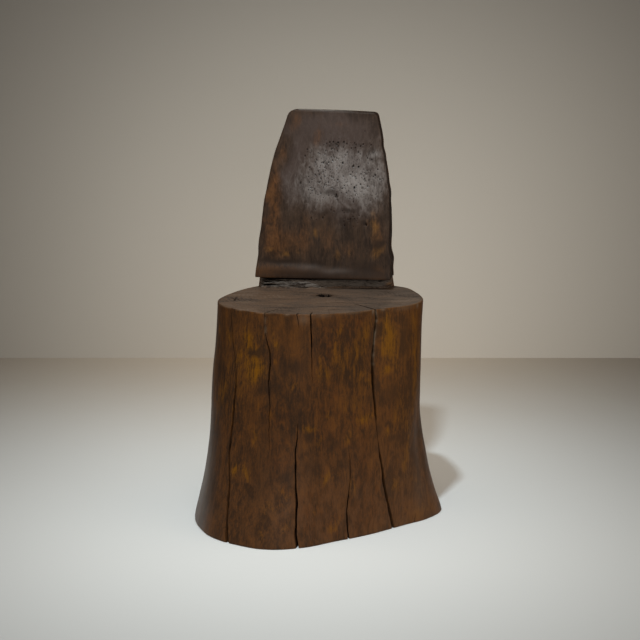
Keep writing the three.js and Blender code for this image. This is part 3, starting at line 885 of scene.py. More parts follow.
# Larger pits in the slab's front: across and up from the foot in millimetres, half width, half
# height, depth
PITS = [
    (53, 190, 2.2, 2.8, 3.5), (-12, 240, 1.8, 2.4, 2.5), (28, 240, 2, 2.4, 3), (61, 233, 2, 2.4, 3),
    (8, 283, 1.6, 2, 2.5), (18, 282, 2, 1.8, 2.5), (30, 284, 1.8, 2, 2.5), (36, 280, 1.5, 1.8, 2),
    (52, 282, 1.4, 1.8, 2), (70, 280, 1.6, 1.8, 2), (86, 279, 1.4, 1.6, 2), (45, 217, 1.6, 2, 2),
    (74, 209, 1.5, 2.2, 2), (96, 217, 1.8, 2.4, 2.5), (101, 229, 1.4, 2, 2), (88, 249, 1.6, 2, 2),
]
# Where small pits lie: across and up from the foot, half width and half height in millimetres, and
# how likely a pit is to lie there
PIT_AREAS = np.array([
    (30, 222, 62, 50, 5), (20, 184, 52, 20, 3), (30, 279, 50, 5, 1), (85, 220, 30, 50, 1.4),
    (-10, 134, 26, 16, 0.9), (-26, 205, 26, 44, 1.4), (44, 122, 26, 18, 0.8), (10, 250, 50, 26, 2),
])
SMALL_PIT_COUNT = 430
SMALL_PIT_SEED = 7
PIT_REACH = 3


def pit_list():
    """The listed pits and the many small ones scattered through the pitted areas."""
    draw = np.random.default_rng(SMALL_PIT_SEED)
    pits = list(PITS)
    likely = PIT_AREAS[:, -1] / PIT_AREAS[:, -1].sum()
    for _ in range(SMALL_PIT_COUNT):
        across, upward, wide, high = PIT_AREAS[draw.choice(len(PIT_AREAS), p=likely), :-1]
        half_width = 0.55 + 1.1 * draw.uniform() ** 2
        pits.append((draw.normal(across, wide * 0.6), draw.normal(upward, high * 0.6), half_width,
                     half_width * draw.uniform(1, 2.4), draw.uniform(0.6, 2)))
    return np.multiply(pits, MM)


def pit_depths(across, upward):
    """How deep the pits are at places across and up the slab's front."""
    depth = np.zeros_like(across)
    for middle, height, half_width, half_height, deep in pit_list():
        aside = (across - middle) / half_width
        above = (upward - height) / half_height
        near = (np.abs(aside) < PIT_REACH) & (np.abs(above) < PIT_REACH)
        away = np.hypot(aside[near], above[near])
        depth[near] = np.maximum(depth[near], deep * rise_between(1.25, 0.3, away))
    return depth


LIP_LEFT = -153 * MM
CREASE_LEFT = 36 * MM
CREASE_RIGHT = 23 * MM
CREASE_DEPTH = 0.9 * MM
SLAB_HEWN = [(1.1, (62, 1, 74), 52), (0.35, (24, 1, 60), 53)]
SLAB_GRAIN = [(0.1, (6, 1, 30), 54), (0.035, (2.6, 1, 12), 55)]
SLAB_SIDE_WEAR = [(1.2, (1000, 9, 30), 58), (0.6, (1000, 3, 9), 59)]
SLAB_TOP_WEAR = [(0.4, (6, 6, 1), 61)]
# Bumps in the slab's two edges: height over the foot, half height and swing to the right in
# millimetres
LEFT_BUMPS = [(48, 12, 1.5)]
RIGHT_BUMPS = [(38, 14, 2.4), (66, 16, -1.6), (258, 10, 1.5), (276, 9, -1.2)]


def lip_profile(across, upward):
    """How far the front lies behind the slab's lip: at a crease over the lip most of all."""
    part = np.clip((across - LIP_LEFT) / BACK_WIDTH, 0, 1)
    crease = blend(CREASE_LEFT, CREASE_RIGHT, part) + 1.6 * MM * wander(across, 30 * MM, 51)
    strength = 1 - 0.9 * rise_between(0.3, 0.7, part)
    shoulder = rise_between(-1, 0, (upward - crease) / blend(20 * MM, 28 * MM, part))
    settled = rise_between(0, 45 * MM, upward - crease)
    return shoulder * (BACK_HOLLOW + CREASE_DEPTH * strength * (1 - settled))


def slab_front(across, upward):
    """How far back the slab's front lies, with its worn relief but without its pits."""
    foot = log_radius(np.array(math.pi / 2), SEAM_HEIGHT) - BACK_THICKNESS
    points = on_front(across, upward)
    hewn = layers(points, SLAB_HEWN) * rise_between(0, 20 * MM, upward)
    worn = hewn + layers(points, SLAB_GRAIN) + lip_profile(across, upward)
    return foot + upward * math.tan(BACK_LEAN) + worn


def bumps(upward, table):
    """How far a table of bumps moves an edge to the right at a height over the foot."""
    return sum(swing * MM * bell(upward - height * MM, reach * MM) for height, reach, swing in table)


def slab_sides(upward):
    """The slab's left and right edges at a height above its foot."""
    part = upward / BACK_HEIGHT
    left = -BACK_WIDTH * along(BACK_LEFT_SHARES, part) + 0.8 * MM * wander(upward, 26 * MM, 56)
    right = BACK_WIDTH * along(BACK_RIGHT_SHARES, part) + 0.9 * MM * wander(upward, 20 * MM, 57)
    return left + bumps(upward, LEFT_BUMPS), right + bumps(upward, RIGHT_BUMPS)


def slab_stations():
    """The places round the slab at one height, seen from above, counter-clockwise from the front's
    left edge: share across, share of the way back, then offsets in shares of the edge's rounding."""
    turns = np.column_stack([1 - np.cos(BACK_EDGE_TURNS), 1 - np.sin(BACK_EDGE_TURNS)])
    front = spread(BACK_FRONT_COLUMNS, *CLOSE_ACROSS)[1:-1]
    sides = np.arange(1, BACK_SIDE_COLUMNS) / BACK_SIDE_COLUMNS
    rear = np.linspace(1, 0, BACK_REAR_COLUMNS)[1:-1]
    stations = [(0, 0, aside, inside) for aside, inside in turns]
    stations += [(share, 0, 1 - 2 * share, 0) for share in front]
    stations += [(1, 0, -aside, inside) for aside, inside in turns[::-1]]
    stations += [(1, share, 0, 1 - 2 * share) for share in sides]
    stations += [(1, 1, -aside, -inside) for aside, inside in turns]
    stations += [(share, 1, 1 - 2 * share, 0) for share in rear]
    stations += [(0, 1, aside, -inside) for aside, inside in turns[::-1]]
    stations += [(0, share, 0, 1 - 2 * share) for share in sides[::-1]]
    return np.array(stations)


def slab_rows():
    """Height over the foot, left edge, right edge and inward rounding of each row of points."""
    shoulder = BACK_HEIGHT - BACK_LEFT_CORNER
    upward = np.concatenate([shoulder * spread(BACK_ROWS, *CLOSE_UP),
                             shoulder + BACK_LEFT_CORNER * np.sin(BACK_CORNER_TURNS)])

    def rounded(radius):
        return eased((upward - (BACK_HEIGHT - radius)) / radius, radius)

    shrink = rounded(BACK_EDGE) + FOOT_EASE * np.clip(1 - upward / FOOT_EASE_HEIGHT, 0, 1)
    left, right = slab_sides(np.minimum(upward, BACK_HEIGHT))
    return (upward, left + rounded(BACK_LEFT_CORNER) + shrink,
            right - rounded(BACK_RIGHT_CORNER) - shrink, shrink)


# Patches on the slab's front: across and up from the foot, half width, half height, strength. The worn
# ones are a painted highlight that lies on the shoulder under the crease.
SLAB_PATCHES = {
    "gold": [
        (98, 114, 11, 12, 0.7), (103, 60, 11, 11, 0.7), (-92, 51, 7, 6, 0.8), (-118, 56, 10, 6, 0.6),
        (-25, 90, 6, 9, 0.7), (20, 47, 8, 12, 0.7), (-119, 114, 4, 5, 0.5), (49, 56, 4, 6, 0.5),
        (-66, 53, 4, 7, 0.5), (96, 141, 4, 5, 0.5), (-128, 66, 7, 4, 0.5), (-16, 299, 4, 4, 0.4),
        (96, 87, 12, 40, 0.35),
    ],
    "rust": [
        (-113, 176, 12, 46, 0.9), (-111, 73, 20, 25, 0.8), (-101, 266, 6, 16, 0.5), (-21, 294, 7, 14, 0.6),
        (-8, 14, 94, 7, 0.6), (-125, 10, 26, 12, 1.0), (-70, 12, 26, 8, 0.8), (60, 4, 40, 5, 0.7),
        (104, 12, 12, 12, 0.7), (-52, 101, 16, 38, 0.45), (103, 93, 15, 36, 0.6), (-2, 75, 18, 24, 0.45),
        (-71, 322, 11, 13, 0.55), (-122, 123, 12, 40, 0.6), (-70, 75, 24, 20, 0.5), (50, 60, 20, 22, 0.4),
        (20, 320, 30, 6, 0.25),
    ],
    "purple": [
        (5, 312, 72, 24, 0.9), (-62, 262, 14, 26, 0.8), (-82, 205, 14, 30, 0.8), (27, 220, 66, 56, 0.8),
        (20, 153, 60, 30, 0.4),
    ],
    # A pale crust with a painted sheen over it
    "pale": [
        (24, 222, 40, 36, 0.42), (-26, 212, 30, 36, 0.18), (-52, 182, 30, 22, 0.2),
        (60, 204, 24, 18, 0.55), (92, 218, 28, 44, 0.36), (-8, 234, 24, 24, 0.32), (8, 246, 12, 9, 0.3),
        (53, 205, 13, 9, 0.4), (63, 180, 14, 12, 0.35), (92, 260, 8, 7, 0.5), (-26, 188, 26, 18, 0.22),
        (34, 178, 50, 16, 0.22), (104, 181, 13, 12, 0.25), (26, 262, 46, 14, 0.2),
        (-20, 160, 20, 20, 0.15), (60, 146, 40, 14, 0.15),
    ],
    "soot": [
        # Dark patches; the two at 34 and 30 mm up lie on the crease over the lip: painted shade
        (11, 282, 11, 4, 0.6), (60, 283, 9, 3, 0.5), (7, 181, 18, 6, 0.8), (-11, 134, 12, 9, 0.7),
        (44, 141, 14, 4, 0.8), (49, 121, 11, 6, 0.6), (46, 87, 15, 6, 0.6), (103, 76, 13, 8, 0.95),
        (-103, 34, 30, 4, 1.0), (-25, 30, 23, 4, 0.5), (-126, 107, 5, 3, 0.6), (-100, 148, 3, 3, 0.5),
        (-67, 251, 3, 5, 0.5), (103, 12, 7, 4, 0.8), (-40, 169, 7, 5, 0.4), (116, 133, 7, 7, 0.5),
        (-83, 58, 2, 3, 0.5), (-40, 84, 3, 3, 0.6), (0, 118, 5, 4, 0.6), (80, 33, 40, 10, 0.4),
        (-60, 10, 80, 10, 0.85), (60, 9, 60, 10, 0.9), (80, 16, 16, 8, 0.9), (-20, 3, 120, 2.5, 0.5),
    ],
    # Painted highlight on the shoulder under the crease
    "worn": [
        (-84, 27, 18, 3, 0.3), (-41, 23, 20, 4, 0.6), (14, 17, 21, 4, 0.6),
    ],
}
# How far the patches are shifted, so that their edges fray
PATCH_SHIFT = [(7, (30, 1, 34), 74), (3, (9, 1, 14), 76)]
PATCH_LIFT = [(8, (26, 1, 34), 75), (3, (8, 1, 14), 77)]


def front_marks(points, across, upward):
    """The patches on the slab. Near its lip they are moved up and down less than elsewhere."""
    flat = on_front(points[..., 0], points[..., 2])
    free = blend(0.25, 1, rise_between(35 * MM, 75 * MM, upward))
    shifted = across + layers(flat, PATCH_SHIFT)
    raised = upward + free * layers(flat, PATCH_LIFT)

    def from_middle(middle):
        return shifted - middle * MM

    return {name: painted(patches, from_middle, raised) for name, patches in SLAB_PATCHES.items()}


def build_slab():
    skin = Skin(("edge", "rear", *SLAB_PATCHES, "pit"))
    rows, left, right, shrink = slab_rows()
    share, back, aside, depthwise = slab_stations().T
    upward = np.tile(rows[:, None], len(share))
    across = left[:, None] + (right - left)[:, None] * share + aside * BACK_EDGE
    heights = BACK_FOOT + upward - BACK_TOP_DROP * upward / BACK_HEIGHT * share
    front = slab_front(across, upward) + shrink[:, None]
    rear = log_rear(across, heights) - shrink[:, None]
    points = np.stack([across, front + (rear - front) * back + depthwise * BACK_EDGE, heights], -1)

    on_side = np.isin(share, (0, 1)) & (back > 0) & (back < 1)
    points[..., 0] += on_side * layers(points, SLAB_SIDE_WEAR, 1) * np.where(share == 0, 1, -1)
    pits = pit_depths(across, upward) * (back == 0)
    points[..., 1] += pits
    marks = {name: mark * (back < 1) for name, mark in front_marks(points, across, upward).items()}
    # The pits are marked by their depth, to be painted black as painted shade
    numbers = skin.add(points, edge=on_side * 1.0, rear=(back == 1) * 1.0,
                       pit=0.9 * rise_between(0.2 * MM, 1.8 * MM, pits), **marks)
    skin.sheet(numbers, *SLAB_MAP, closed=True)

    def top_level(plan):
        part = (plan[:, 0] - left[-1]) / (right[-1] - left[-1])
        worn = layers(on_level(plan), SLAB_TOP_WEAR, 1) * rise_between(0, 0.1, np.minimum(part, 1 - part))
        # The top is paler towards the left: a painted highlight along the top
        marks = {"edge": 0.2, "pale": 0.9 * rise_between(0.95, 0.3, part)}
        return BACK_FOOT + BACK_HEIGHT - BACK_TOP_DROP * part - worn, marks

    def foot_level(plan):
        return np.full(len(plan), BACK_FOOT), {"edge": 0.6}

    inner = clear_of(net((0, 0.16), 160 * MM, 2.2 * MM), skin.plan(numbers[-1]), 1.4 * MM)
    fill(skin, numbers[-1], inner, top_level, SLAB_TOP_MAP)
    holes = dowel_holes(skin, BACK_FOOT, 1, SLAB_HOLE_MAP)
    rims = skin.plan(np.concatenate([numbers[0], *holes]))
    inner = clear_of(net((0, 0.16), 200 * MM, 7 * MM), rims, 4 * MM)
    fill(skin, numbers[0], inner, foot_level, SLAB_FOOT_MAP, facing_up=False, holes=holes)
    return skin.build("back_slab_finish", "back_slab")


# Materials

class Wire:
    """A value in a material. Arithmetic on it adds the Math nodes that work it out."""

    def __init__(self, finish, socket):
        self.finish = finish
        self.socket = socket

    def __add__(self, other):
        return self.finish.math("ADD", self, other)

    def __radd__(self, other):
        return self.finish.math("ADD", other, self)

    def __sub__(self, other):
        return self.finish.math("SUBTRACT", self, other)

    def __rsub__(self, other):
        return self.finish.math("SUBTRACT", other, self)

    def __mul__(self, other):
        return self.finish.math("MULTIPLY", self, other)

    def __rmul__(self, other):
        return self.finish.math("MULTIPLY", other, self)

    def __pow__(self, other):
        return self.finish.math("POWER", self, other)


SHADER_INPUTS = {
    "color": "Base Color", "roughness": "Roughness", "normal": "Normal", "coat": "Coat Weight",
    "coat_roughness": "Coat Roughness", "specular": "Specular IOR Level",
}


class Finish:
    """A material in the making."""

    def __init__(self, name):
        self.material = bpy.data.materials.new(name)
        self.material.use_nodes = True
        self.tree = self.material.node_tree
        self.shader = self.tree.nodes["Principled BSDF"]
        self.place = self.add("ShaderNodeTexCoord", {}, {}, "Object")

    def add(self, kind, settings, values, output=0):
        """Adds a node, sets it up, then fills its sockets with values or wires."""
        node = self.tree.nodes.new(kind)
        for name, setting in settings.items():
            setattr(node, name, setting)
        for place, value in values.items():
            self.feed(node.inputs[place], value)
        return Wire(self, node.outputs[output])

    def feed(self, socket, value):
        if isinstance(value, Wire):
            self.tree.links.new(value.socket, socket)
        else:
            socket.default_value = value

    def math(self, operation, *values):
        return self.add("ShaderNodeMath", {"operation": operation}, dict(enumerate(values)))

    def mark(self, name):
        return self.add("ShaderNodeAttribute", {"attribute_name": name}, {}, "Fac")

    def stretched(self, scale, place=None):
        return self.add("ShaderNodeVectorMath", {"operation": "MULTIPLY"}, {0: place or self.place, 1: scale})

    def noise(self, scale, detail=3, roughness=0.55, warp=0.0, place=None):
        """Noise from 0 to 1. The scale is in lumps per metre along each axis."""
        values = {"Vector": self.stretched(scale, place), "Scale": 1.0, "Detail": detail,
                  "Roughness": roughness, "Distortion": warp}
        return self.add("ShaderNodeTexNoise", {}, values, 0)

    def step(self, value, low, high):
        """A smooth step from 0 at low to 1 at high."""
        values = {"Value": value, "From Min": low, "From Max": high}
        return self.add("ShaderNodeMapRange", {"interpolation_type": "SMOOTHSTEP"}, values)

    def mix(self, factor, first, second):
        """A colour between two colours."""
        return self.add("ShaderNodeMix", {"data_type": "RGBA"}, {0: factor, 6: first, 7: second}, 2)

    def bump(self, height, distance, strength=1.0):
        values = {"Height": height, "Distance": distance, "Strength": strength}
        return self.add("ShaderNodeBump", {}, values)

    def split(self, vector):
        return [self.add("ShaderNodeSeparateXYZ", {}, {0: vector}, axis) for axis in "XYZ"]

    def surface(self, **values):
        """Feeds the shader and gives the material."""
        for name, value in values.items():
            self.feed(self.shader.inputs[SHADER_INPUTS[name]], value)
        return self.material


def shade(red, green, blue):
    """A colour as a screen shows it, in parts of 255, turned into the light that it stands for."""
    parts = [value / 255 for value in (red, green, blue)]
    light = [part / 12.92 if part <= 0.04045 else ((part + 0.055) / 1.055) ** 2.4 for part in parts]
    return (*light, 1)


LOG_DARK = shade(46, 31, 20)
LOG_BROWN = shade(65, 41, 22)
LOG_LIGHT = shade(83, 51, 24)
LOG_RUST = shade(88, 49, 22)
LOG_GOLD = shade(107, 68, 10)
LOG_LIT_RIGHT = shade(108, 72, 40)
LOG_SHEEN_GREY = shade(66, 50, 36)
LOG_FLOOR_REFLECTION = shade(84, 60, 44)
PALE_CHIP_AND_HIGHLIGHT = shade(112, 96, 80)
BLACK_SHADE = shade(7, 4, 3)
SEAT_GREY = shade(83, 71, 62)
SEAT_DARK = shade(50, 38, 31)
SEAT_WARM = shade(90, 71, 57)
SEAT_PALE = shade(112, 98, 86)
TORN_GREY = shade(94, 87, 81)
TORN_DARK = shade(36, 29, 24)


def log_wood(wood):
    """The colour of the log's polished outside, with the patches that its marks give."""
    across, _, upward = wood.split(wood.place)
    blotch = wood.noise((13, 13, 9), detail=3, roughness=0.5, warp=0.5)
    cloud = wood.noise((44, 44, 19), detail=4, roughness=0.65, warp=0.9)
    smear = wood.noise((112, 112, 42), detail=3, roughness=0.65, warp=1.0)
    streak = wood.noise((240, 240, 18), detail=3, roughness=0.6)
    dash = wood.noise((500, 500, 110), detail=2, roughness=0.6)
    speck = wood.noise((360, 360, 300), detail=1)

    gold_mark = wood.mark("gold")
    # Painted light: the right side gets more contrast, more gold and a lighter tone
    lit = wood.step(across, 0.0, 0.21)
    fine = 0.42 * (streak - 0.5) + 0.34 * (dash - 0.5) + 0.12 * (speck - 0.5)
    fine = fine * (0.44 + 0.9 * gold_mark + 0.25 * lit + 0.3 * wood.step(across, -0.06, -0.15))
    broad = (blotch - 0.5) * 0.3 + (cloud - 0.5) * 0.4 + (smear - 0.5) * 0.3
    tone = 0.51 + broad * (1 + 0.9 * lit) + fine
    color = wood.mix(wood.step(tone, 0.38, 0.54), LOG_DARK, LOG_BROWN)
    color = wood.mix(wood.step(tone, 0.47, 0.68), color, LOG_LIGHT)
    rust = wood.mark("rust") * 0.5 + 0.8 * (smear - 0.5) + 1.2 * fine
    color = wood.mix(wood.step(rust, 0.0, 0.8) * 0.75, color, LOG_RUST)
    broken = 0.1 + 0.8 * smear + 1.0 * streak
    gold = gold_mark * broken + (0.8 + 0.6 * lit) * (cloud - 0.5) + 0.6 * (smear - 0.5) + 1.3 * fine
    color = wood.mix(wood.step(gold, 0.05, 1.15) * 0.92, color, LOG_GOLD)
    soot = wood.mark("soot") * 0.95 + 0.8 * (smear - 0.5) - fine
    color = wood.mix(wood.step(soot, 0.1, 0.85) * 0.85, color, LOG_DARK)
    # Painted reflection of the pale floor, low on the log and weaker on its left side
    floor_reflection = wood.step(upward, 0.26, 0.05) * (0.2 + 0.5 * wood.step(cloud, 0.4, 0.6))
    floor_reflection = floor_reflection * (0.4 + 0.6 * wood.step(across, -0.13, 0.0))
    color = wood.mix(floor_reflection * 0.45, color, LOG_FLOOR_REFLECTION)
    shaded = wood.step(dash + 0.5 * (smear - 0.5) + 0.3 * (streak - 0.5), 0.4, 0.26)
    color = wood.mix(shaded * 0.25, color, LOG_DARK)
    # Painted light on the right side
    color = wood.mix(lit * 0.18, color, LOG_LIT_RIGHT)
    # Painted grey sheen where the sheen mark lies, over the coat's real one
    return wood.mix(wood.mark("sheen") * 0.5, color, LOG_SHEEN_GREY), streak * 0.6 + dash * 0.4


def sawn_wood(wood):
    """The colour of the sawn end grain: rings round the pith, rays from it and lines of the saw."""
    across, back, _ = wood.split(wood.place)
    aside = across - float(PITH[0])
    behind = back - float(PITH[1])
    away = wood.math("SQRT", aside * aside + behind * behind)
    turn = wood.math("ARCTAN2", behind, aside)
    bent = away + 0.012 * wood.noise((14, 14, 0), detail=3)
    rings = 0.5 + 0.5 * wood.math("SINE", bent * 700)
    polar = wood.add("ShaderNodeCombineXYZ", {}, {0: turn * 0.2, 1: away * 0.3, 2: 0.0})
    rays = wood.noise((120, 20, 1), detail=2, place=polar)
    saw = wood.noise((9, 130, 0), detail=4, roughness=0.75)
    patch = wood.noise((9, 16, 0), detail=4, roughness=0.65, warp=0.6)
    grain = wood.noise((300, 160, 0), detail=3, roughness=0.7)
    tone = patch + 0.4 * (saw - 0.5) + 0.08 * (rings - 0.5) + 0.6 * (grain - 0.5)
    color = wood.mix(wood.step(tone + 0.5 * (0.05 - across), 0.4, 0.62), SEAT_GREY, SEAT_WARM)
    color = wood.mix(wood.step(saw + 0.3 * (grain - 0.5), 0.48, 0.32), color, SEAT_DARK)
    color = wood.mix(wood.step(tone, 0.46, 0.3) * 0.7, color, SEAT_DARK)
    color = wood.mix(wood.step(tone + 0.4 * (saw - 0.5), 0.56, 0.76) * 0.6, color, SEAT_PALE)
    color = wood.mix(wood.step(rays, 0.62, 0.74) * 0.4, color, SEAT_DARK)
    smudge = wood.step(away + 0.03 * (patch - 0.5), 0.034, 0.01)
    return wood.mix(smudge * 0.6, color, LOG_DARK), saw * 0.6 + grain * 0.3


def log_finish():
    wood = Finish("trunk_wood_finish")
    cleft = wood.mark("cleft")
    torn = wood.mark("torn")
    seat = wood.mark("seat")
    side, side_grain = log_wood(wood)
    sawn, sawn_grain = sawn_wood(wood)

    ridge = wood.noise((70, 20, 420), detail=4, roughness=0.7, warp=0.6)
    shade_patch = wood.noise((60, 20, 150), detail=3, roughness=0.6, warp=0.5)
    fibres = ridge * 0.6 + shade_patch * 0.4
    across, _, _ = wood.split(wood.place)
    fibres = fibres + 0.04 * wood.step(across, -0.1, 0.05)
    ripped = wood.mix(wood.step(fibres, 0.4, 0.57), TORN_DARK, TORN_GREY)
    ripped = wood.mix(wood.mark("gold") * wood.step(ridge, 0.3, 0.6), ripped, LOG_GOLD)

    color = wood.mix(seat, side, sawn)
    color = wood.mix(torn, color, ripped)
    # Painted shade, black, in the checks and splits; the knot is darkened by the same mark
    color = wood.mix(cleft, color, BLACK_SHADE)
    # Pale chips and rubbing, with painted highlights on the checks' lips and along the seat's rim
    color = wood.mix(wood.mark("pale") * 0.8, color, PALE_CHIP_AND_HIGHLIGHT)
    worn = wood.noise((60, 60, 60), detail=3, roughness=0.6)
    roughness = 0.45 + 0.25 * (worn - 0.5) + 0.12 * seat + 0.2 * torn + 0.3 * cleft
    height = side_grain * (1 - seat) + seat * sawn_grain + torn * ridge * 2.0
    sheen = wood.mark("sheen") * (1 - cleft)
    return wood.surface(color=color, roughness=roughness, specular=0.06, coat=sheen * 0.6,
                        coat_roughness=0.4, normal=wood.bump(height, 0.5 * MM, 0.5))


SLAB_DARK = shade(34, 23, 16)
SLAB_BROWN = shade(51, 37, 27)
SLAB_LIGHT = shade(61, 43, 29)
SLAB_DUSK = shade(66, 54, 49)
SLAB_RED = shade(90, 56, 27)
SLAB_OCHRE = shade(102, 69, 30)
SLAB_PALE_AND_SHEEN = shade(124, 117, 113)
SLAB_EDGE = shade(34, 25, 19)


def slab_finish():
    wood = Finish("slab_wood_finish")
    edge = wood.mark("edge")
    rear = wood.mark("rear")
    pale = wood.mark("pale")
    blotch = wood.noise((24, 24, 10), detail=4, roughness=0.6, warp=0.5)
    cloud = wood.noise((60, 60, 26), detail=4, roughness=0.65, warp=0.7)
    streak = wood.noise((380, 380, 24), detail=3, roughness=0.6)
    fibre = wood.noise((900, 900, 70), detail=2, roughness=0.6)
    pores = wood.noise((460, 460, 220), detail=2, roughness=0.7)

    mottle = wood.noise((110, 110, 60), detail=3, roughness=0.65, warp=0.8)
    tone = blotch * 0.5 + cloud * 0.5 + 0.3 * (mottle - 0.5) + 0.4 * (streak - 0.5) + 0.25 * (fibre - 0.5)
    color = wood.mix(wood.step(tone, 0.36, 0.56), SLAB_DARK, SLAB_BROWN)
    color = wood.mix(wood.step(tone, 0.5, 0.68) * 0.8, color, SLAB_LIGHT)
    dusk = wood.mark("purple") + 0.4 * (cloud - 0.5)
    color = wood.mix(wood.step(dusk, 0.1, 0.8) * (0.4 + 0.9 * mottle), color, SLAB_DUSK)
    rust = wood.mark("rust") * (0.1 + 1.5 * mottle) + 0.7 * (cloud - 0.5) + 0.5 * (streak - 0.5)
    color = wood.mix(wood.step(rust, 0.1, 1.1) * 0.9, color, SLAB_RED)
    gold = wood.mark("gold") * (0.2 + 1.3 * mottle) + 0.8 * (cloud - 0.5) + 0.6 * (streak - 0.5)
    color = wood.mix(wood.step(gold, 0.15, 1.1), color, SLAB_OCHRE)
    rubbed_and_highlit = 1.1 * (cloud - 0.5) + 1.2 * (mottle - 0.5) + 0.5 * (streak - 0.5) + 0.3 * (fibre - 0.5)
    # The pale area: a pale crust with a painted sheen; the coat adds a real sheen
    pale_and_sheen = pale * 1.2 + rubbed_and_highlit * (0.5 + 0.5 * wood.step(pale, 0.0, 0.3))
    color = wood.mix(wood.step(pale_and_sheen, 0.0, 1.25) * 0.9, color, SLAB_PALE_AND_SHEEN)
    # Dark patches, some of them painted shade in the crease
    soot = wood.mark("soot") * 0.8 + 0.6 * (cloud - 0.5) + 0.4 * (mottle - 0.5) + 0.3 * (streak - 0.5)
    color = wood.mix(wood.step(soot, 0.05, 0.75) * 0.85, color, SLAB_DARK)
    # Painted highlight on the shoulder under the crease
    color = wood.mix(wood.mark("worn") * 0.25, color, SLAB_PALE_AND_SHEEN)
    # Black dots in the pale area: painted shade in small pores
    dots = wood.step(pores, 0.59, 0.68) * wood.step(pale, 0.1, 0.6)
    color = wood.mix(dots * 0.85, color, BLACK_SHADE)
    color = wood.mix(wood.step(fibre + 0.4 * (streak - 0.5), 0.52, 0.72) * 0.3, color, SLAB_DARK)

    bark, _ = log_wood(wood)
    color = wood.mix(rear, color, bark)
    color = wood.mix(edge * 0.85, color, SLAB_EDGE)
    # Painted shade in the pits
    color = wood.mix(wood.mark("pit"), color, BLACK_SHADE)

    roughness = 0.46 + 0.2 * (cloud - 0.5) + 0.25 * edge
    height = streak * 0.6 + fibre * 0.4 - dots * 0.8
    sheen = wood.step(pale, 0.0, 0.9) * (1 - dots)
    return wood.surface(color=color, roughness=roughness, specular=0.12, coat=sheen * 0.6,
                        coat_roughness=0.38, normal=wood.bump(height, 0.5 * MM, 0.3))


def dowel_finish():
    wood = Finish("dowel_wood_finish")
    streak = wood.noise((500, 500, 20), detail=3)
    color = wood.mix(streak, shade(160, 122, 80), shade(192, 158, 112))
    return wood.surface(color=color, roughness=0.6 + 0.1 * streak, normal=wood.bump(streak, 0.1 * MM))


# Stage, light and camera

# The floor's change from near to far and the fading of floor and wall are painted light
FLOOR_NEAR = shade(242, 244, 244)
FLOOR_FAR = shade(203, 193, 180)
WALL_COLOR = shade(207, 201, 192)
WALL_BACK = 1.62
WALL_BRIGHTEST = 0.08
FLOOR_BRIGHTEST = 0.05
SHADOW_SHARE = 0.1
STAGE_REACH = 6.0
WALL_TOP = 4.0
AIR_COLOR = (1, 0.86, 0.7, 1)
AIR_STRENGTH = 0.6
# Lamps: name, place, the place it points at, width, height, power in watts, colour
LAMPS = [
    ("high_lamp", (-0.038, -1.237, 2.205), (0, 0, 0.4), 0.1, 0.1, 34, (0.8, 0.93, 1)),
    ("front_lamp", (0.8, -3.4, 1.0), (0, 0.1, 0.6), 1.2, 0.9, 17, (1, 1, 1)),
    ("side_lamp", (1.5, -0.9, 0.8), (0, 0, 0.4), 1.0, 1.0, 3, (1, 0.95, 0.88)),
]
# The camera, as worked out from the photo
CAMERA_TURN = 8 * DEGREE
CAMERA_PITCH = 10.18 * DEGREE
CAMERA_PLACE = (0.4806, -3.4194, 1.0256)
CAMERA_LENS = 97.9
SENSOR_WIDTH = 36


def fading(paint, color, amount):
    """A colour that darkens as the amount grows: painted falloff of light."""
    light = paint.math("EXPONENT", -1.0 * amount)
    shadow = (*(part * SHADOW_SHARE for part in FLOOR_FAR[:3]), 1)
    return paint.mix(light, shadow, color)


def wall_finish():
    """Painted light on the wall: brightest low down and near the middle."""
    paint = Finish("wall_painted_light")
    across, _, upward = paint.split(paint.place)
    aside = across - WALL_BRIGHTEST
    color = fading(paint, WALL_COLOR, 0.85 * aside * aside + 0.75 * upward ** 2.4)
    return paint.surface(color=color, roughness=0.9)


def floor_finish():
    """Pale floor with a painted pool of light. It takes on the wall's tone towards the wall and darkens
    towards the sides and the front.
    """
    paint = Finish("floor_painted_light")
    across, back, _ = paint.split(paint.place)
    worn = paint.noise((5, 5, 1), detail=4)
    # Noise that frays the edge of the painted pool of light
    color = paint.mix(paint.step(back + 0.1 * (worn - 0.5), 1.72, 0.4), FLOOR_FAR, FLOOR_NEAR)
    near = paint.math("MINIMUM", back - 0.25, 0.0)
    aside = across + FLOOR_BRIGHTEST
    color = fading(paint, color, 1.2 * aside * aside + 0.6 * near * near)
    return paint.surface(color=color, roughness=0.9)


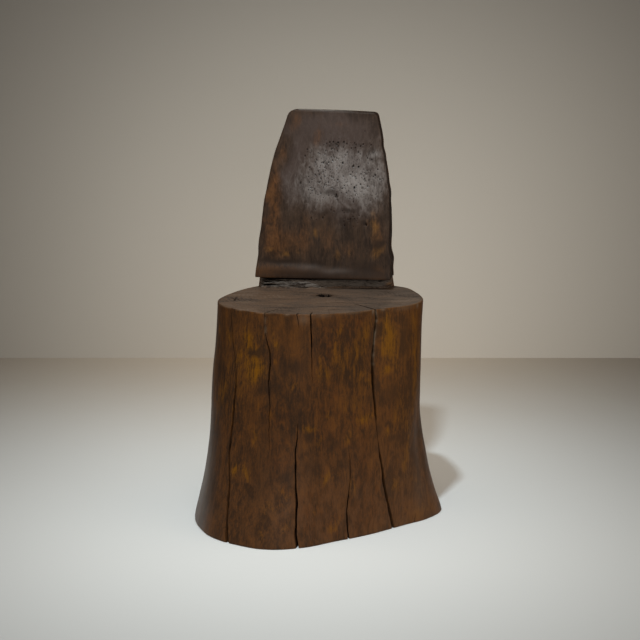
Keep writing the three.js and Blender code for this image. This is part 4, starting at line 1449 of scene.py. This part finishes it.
def stage_sheet(name, line, material):
    """A sheet that follows a line of places back and up, as wide as the stage."""
    points = [(side * STAGE_REACH, back, height) for back, height in line for side in (-1, 1)]
    faces = [(2 * step, 2 * step + 1, 2 * step + 3, 2 * step + 2) for step in range(len(line) - 1)]
    mesh = bpy.data.meshes.new(name)
    mesh.from_pydata(points, [], faces)
    mesh.shade_smooth()
    mesh.materials.append(material)
    sheet = bpy.data.objects.new(name, mesh)
    bpy.context.scene.collection.objects.link(sheet)
    sheet.rotation_euler.z = CAMERA_TURN


def build_stage():
    stage_sheet("floor", [(-STAGE_REACH, 0), (WALL_BACK, 0)], floor_finish())
    stage_sheet("wall", [(WALL_BACK, 0), (WALL_BACK, WALL_TOP)], wall_finish())


def softbox(name, place, target, width, height, power, color):
    lamp = bpy.data.lights.new(name, "AREA")
    lamp.shape = "RECTANGLE"
    lamp.size = width
    lamp.size_y = height
    lamp.energy = power
    lamp.color = color
    holder = bpy.data.objects.new(name, lamp)
    holder.location = place
    holder.rotation_euler = (Vector(target) - Vector(place)).to_track_quat("-Z", "Y").to_euler()
    bpy.context.scene.collection.objects.link(holder)


def build_light():
    world = bpy.data.worlds.new("studio_air")
    world.use_nodes = True
    air = world.node_tree.nodes["Background"].inputs
    air["Color"].default_value = AIR_COLOR
    air["Strength"].default_value = AIR_STRENGTH
    bpy.context.scene.world = world
    for lamp in LAMPS:
        softbox(*lamp)


def build_camera():
    lens = bpy.data.cameras.new("photo_view")
    lens.lens = CAMERA_LENS
    lens.sensor_width = SENSOR_WIDTH
    camera = bpy.data.objects.new("photo_view", lens)
    camera.location = CAMERA_PLACE
    camera.rotation_euler = (math.pi / 2 - CAMERA_PITCH, 0, CAMERA_TURN)
    bpy.context.scene.collection.objects.link(camera)
    bpy.context.scene.camera = camera


build_camera()
build_stage()
build_light()
build_trunk().data.materials.append(log_finish())
build_slab().data.materials.append(slab_finish())
dowel_wood = dowel_finish()
for side in DOWEL_SIDES:
    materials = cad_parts[f"back_dowel_{side}"].data.materials
    materials.clear()
    materials.append(dowel_wood)

bpy.context.scene.view_settings.view_transform = "Standard"
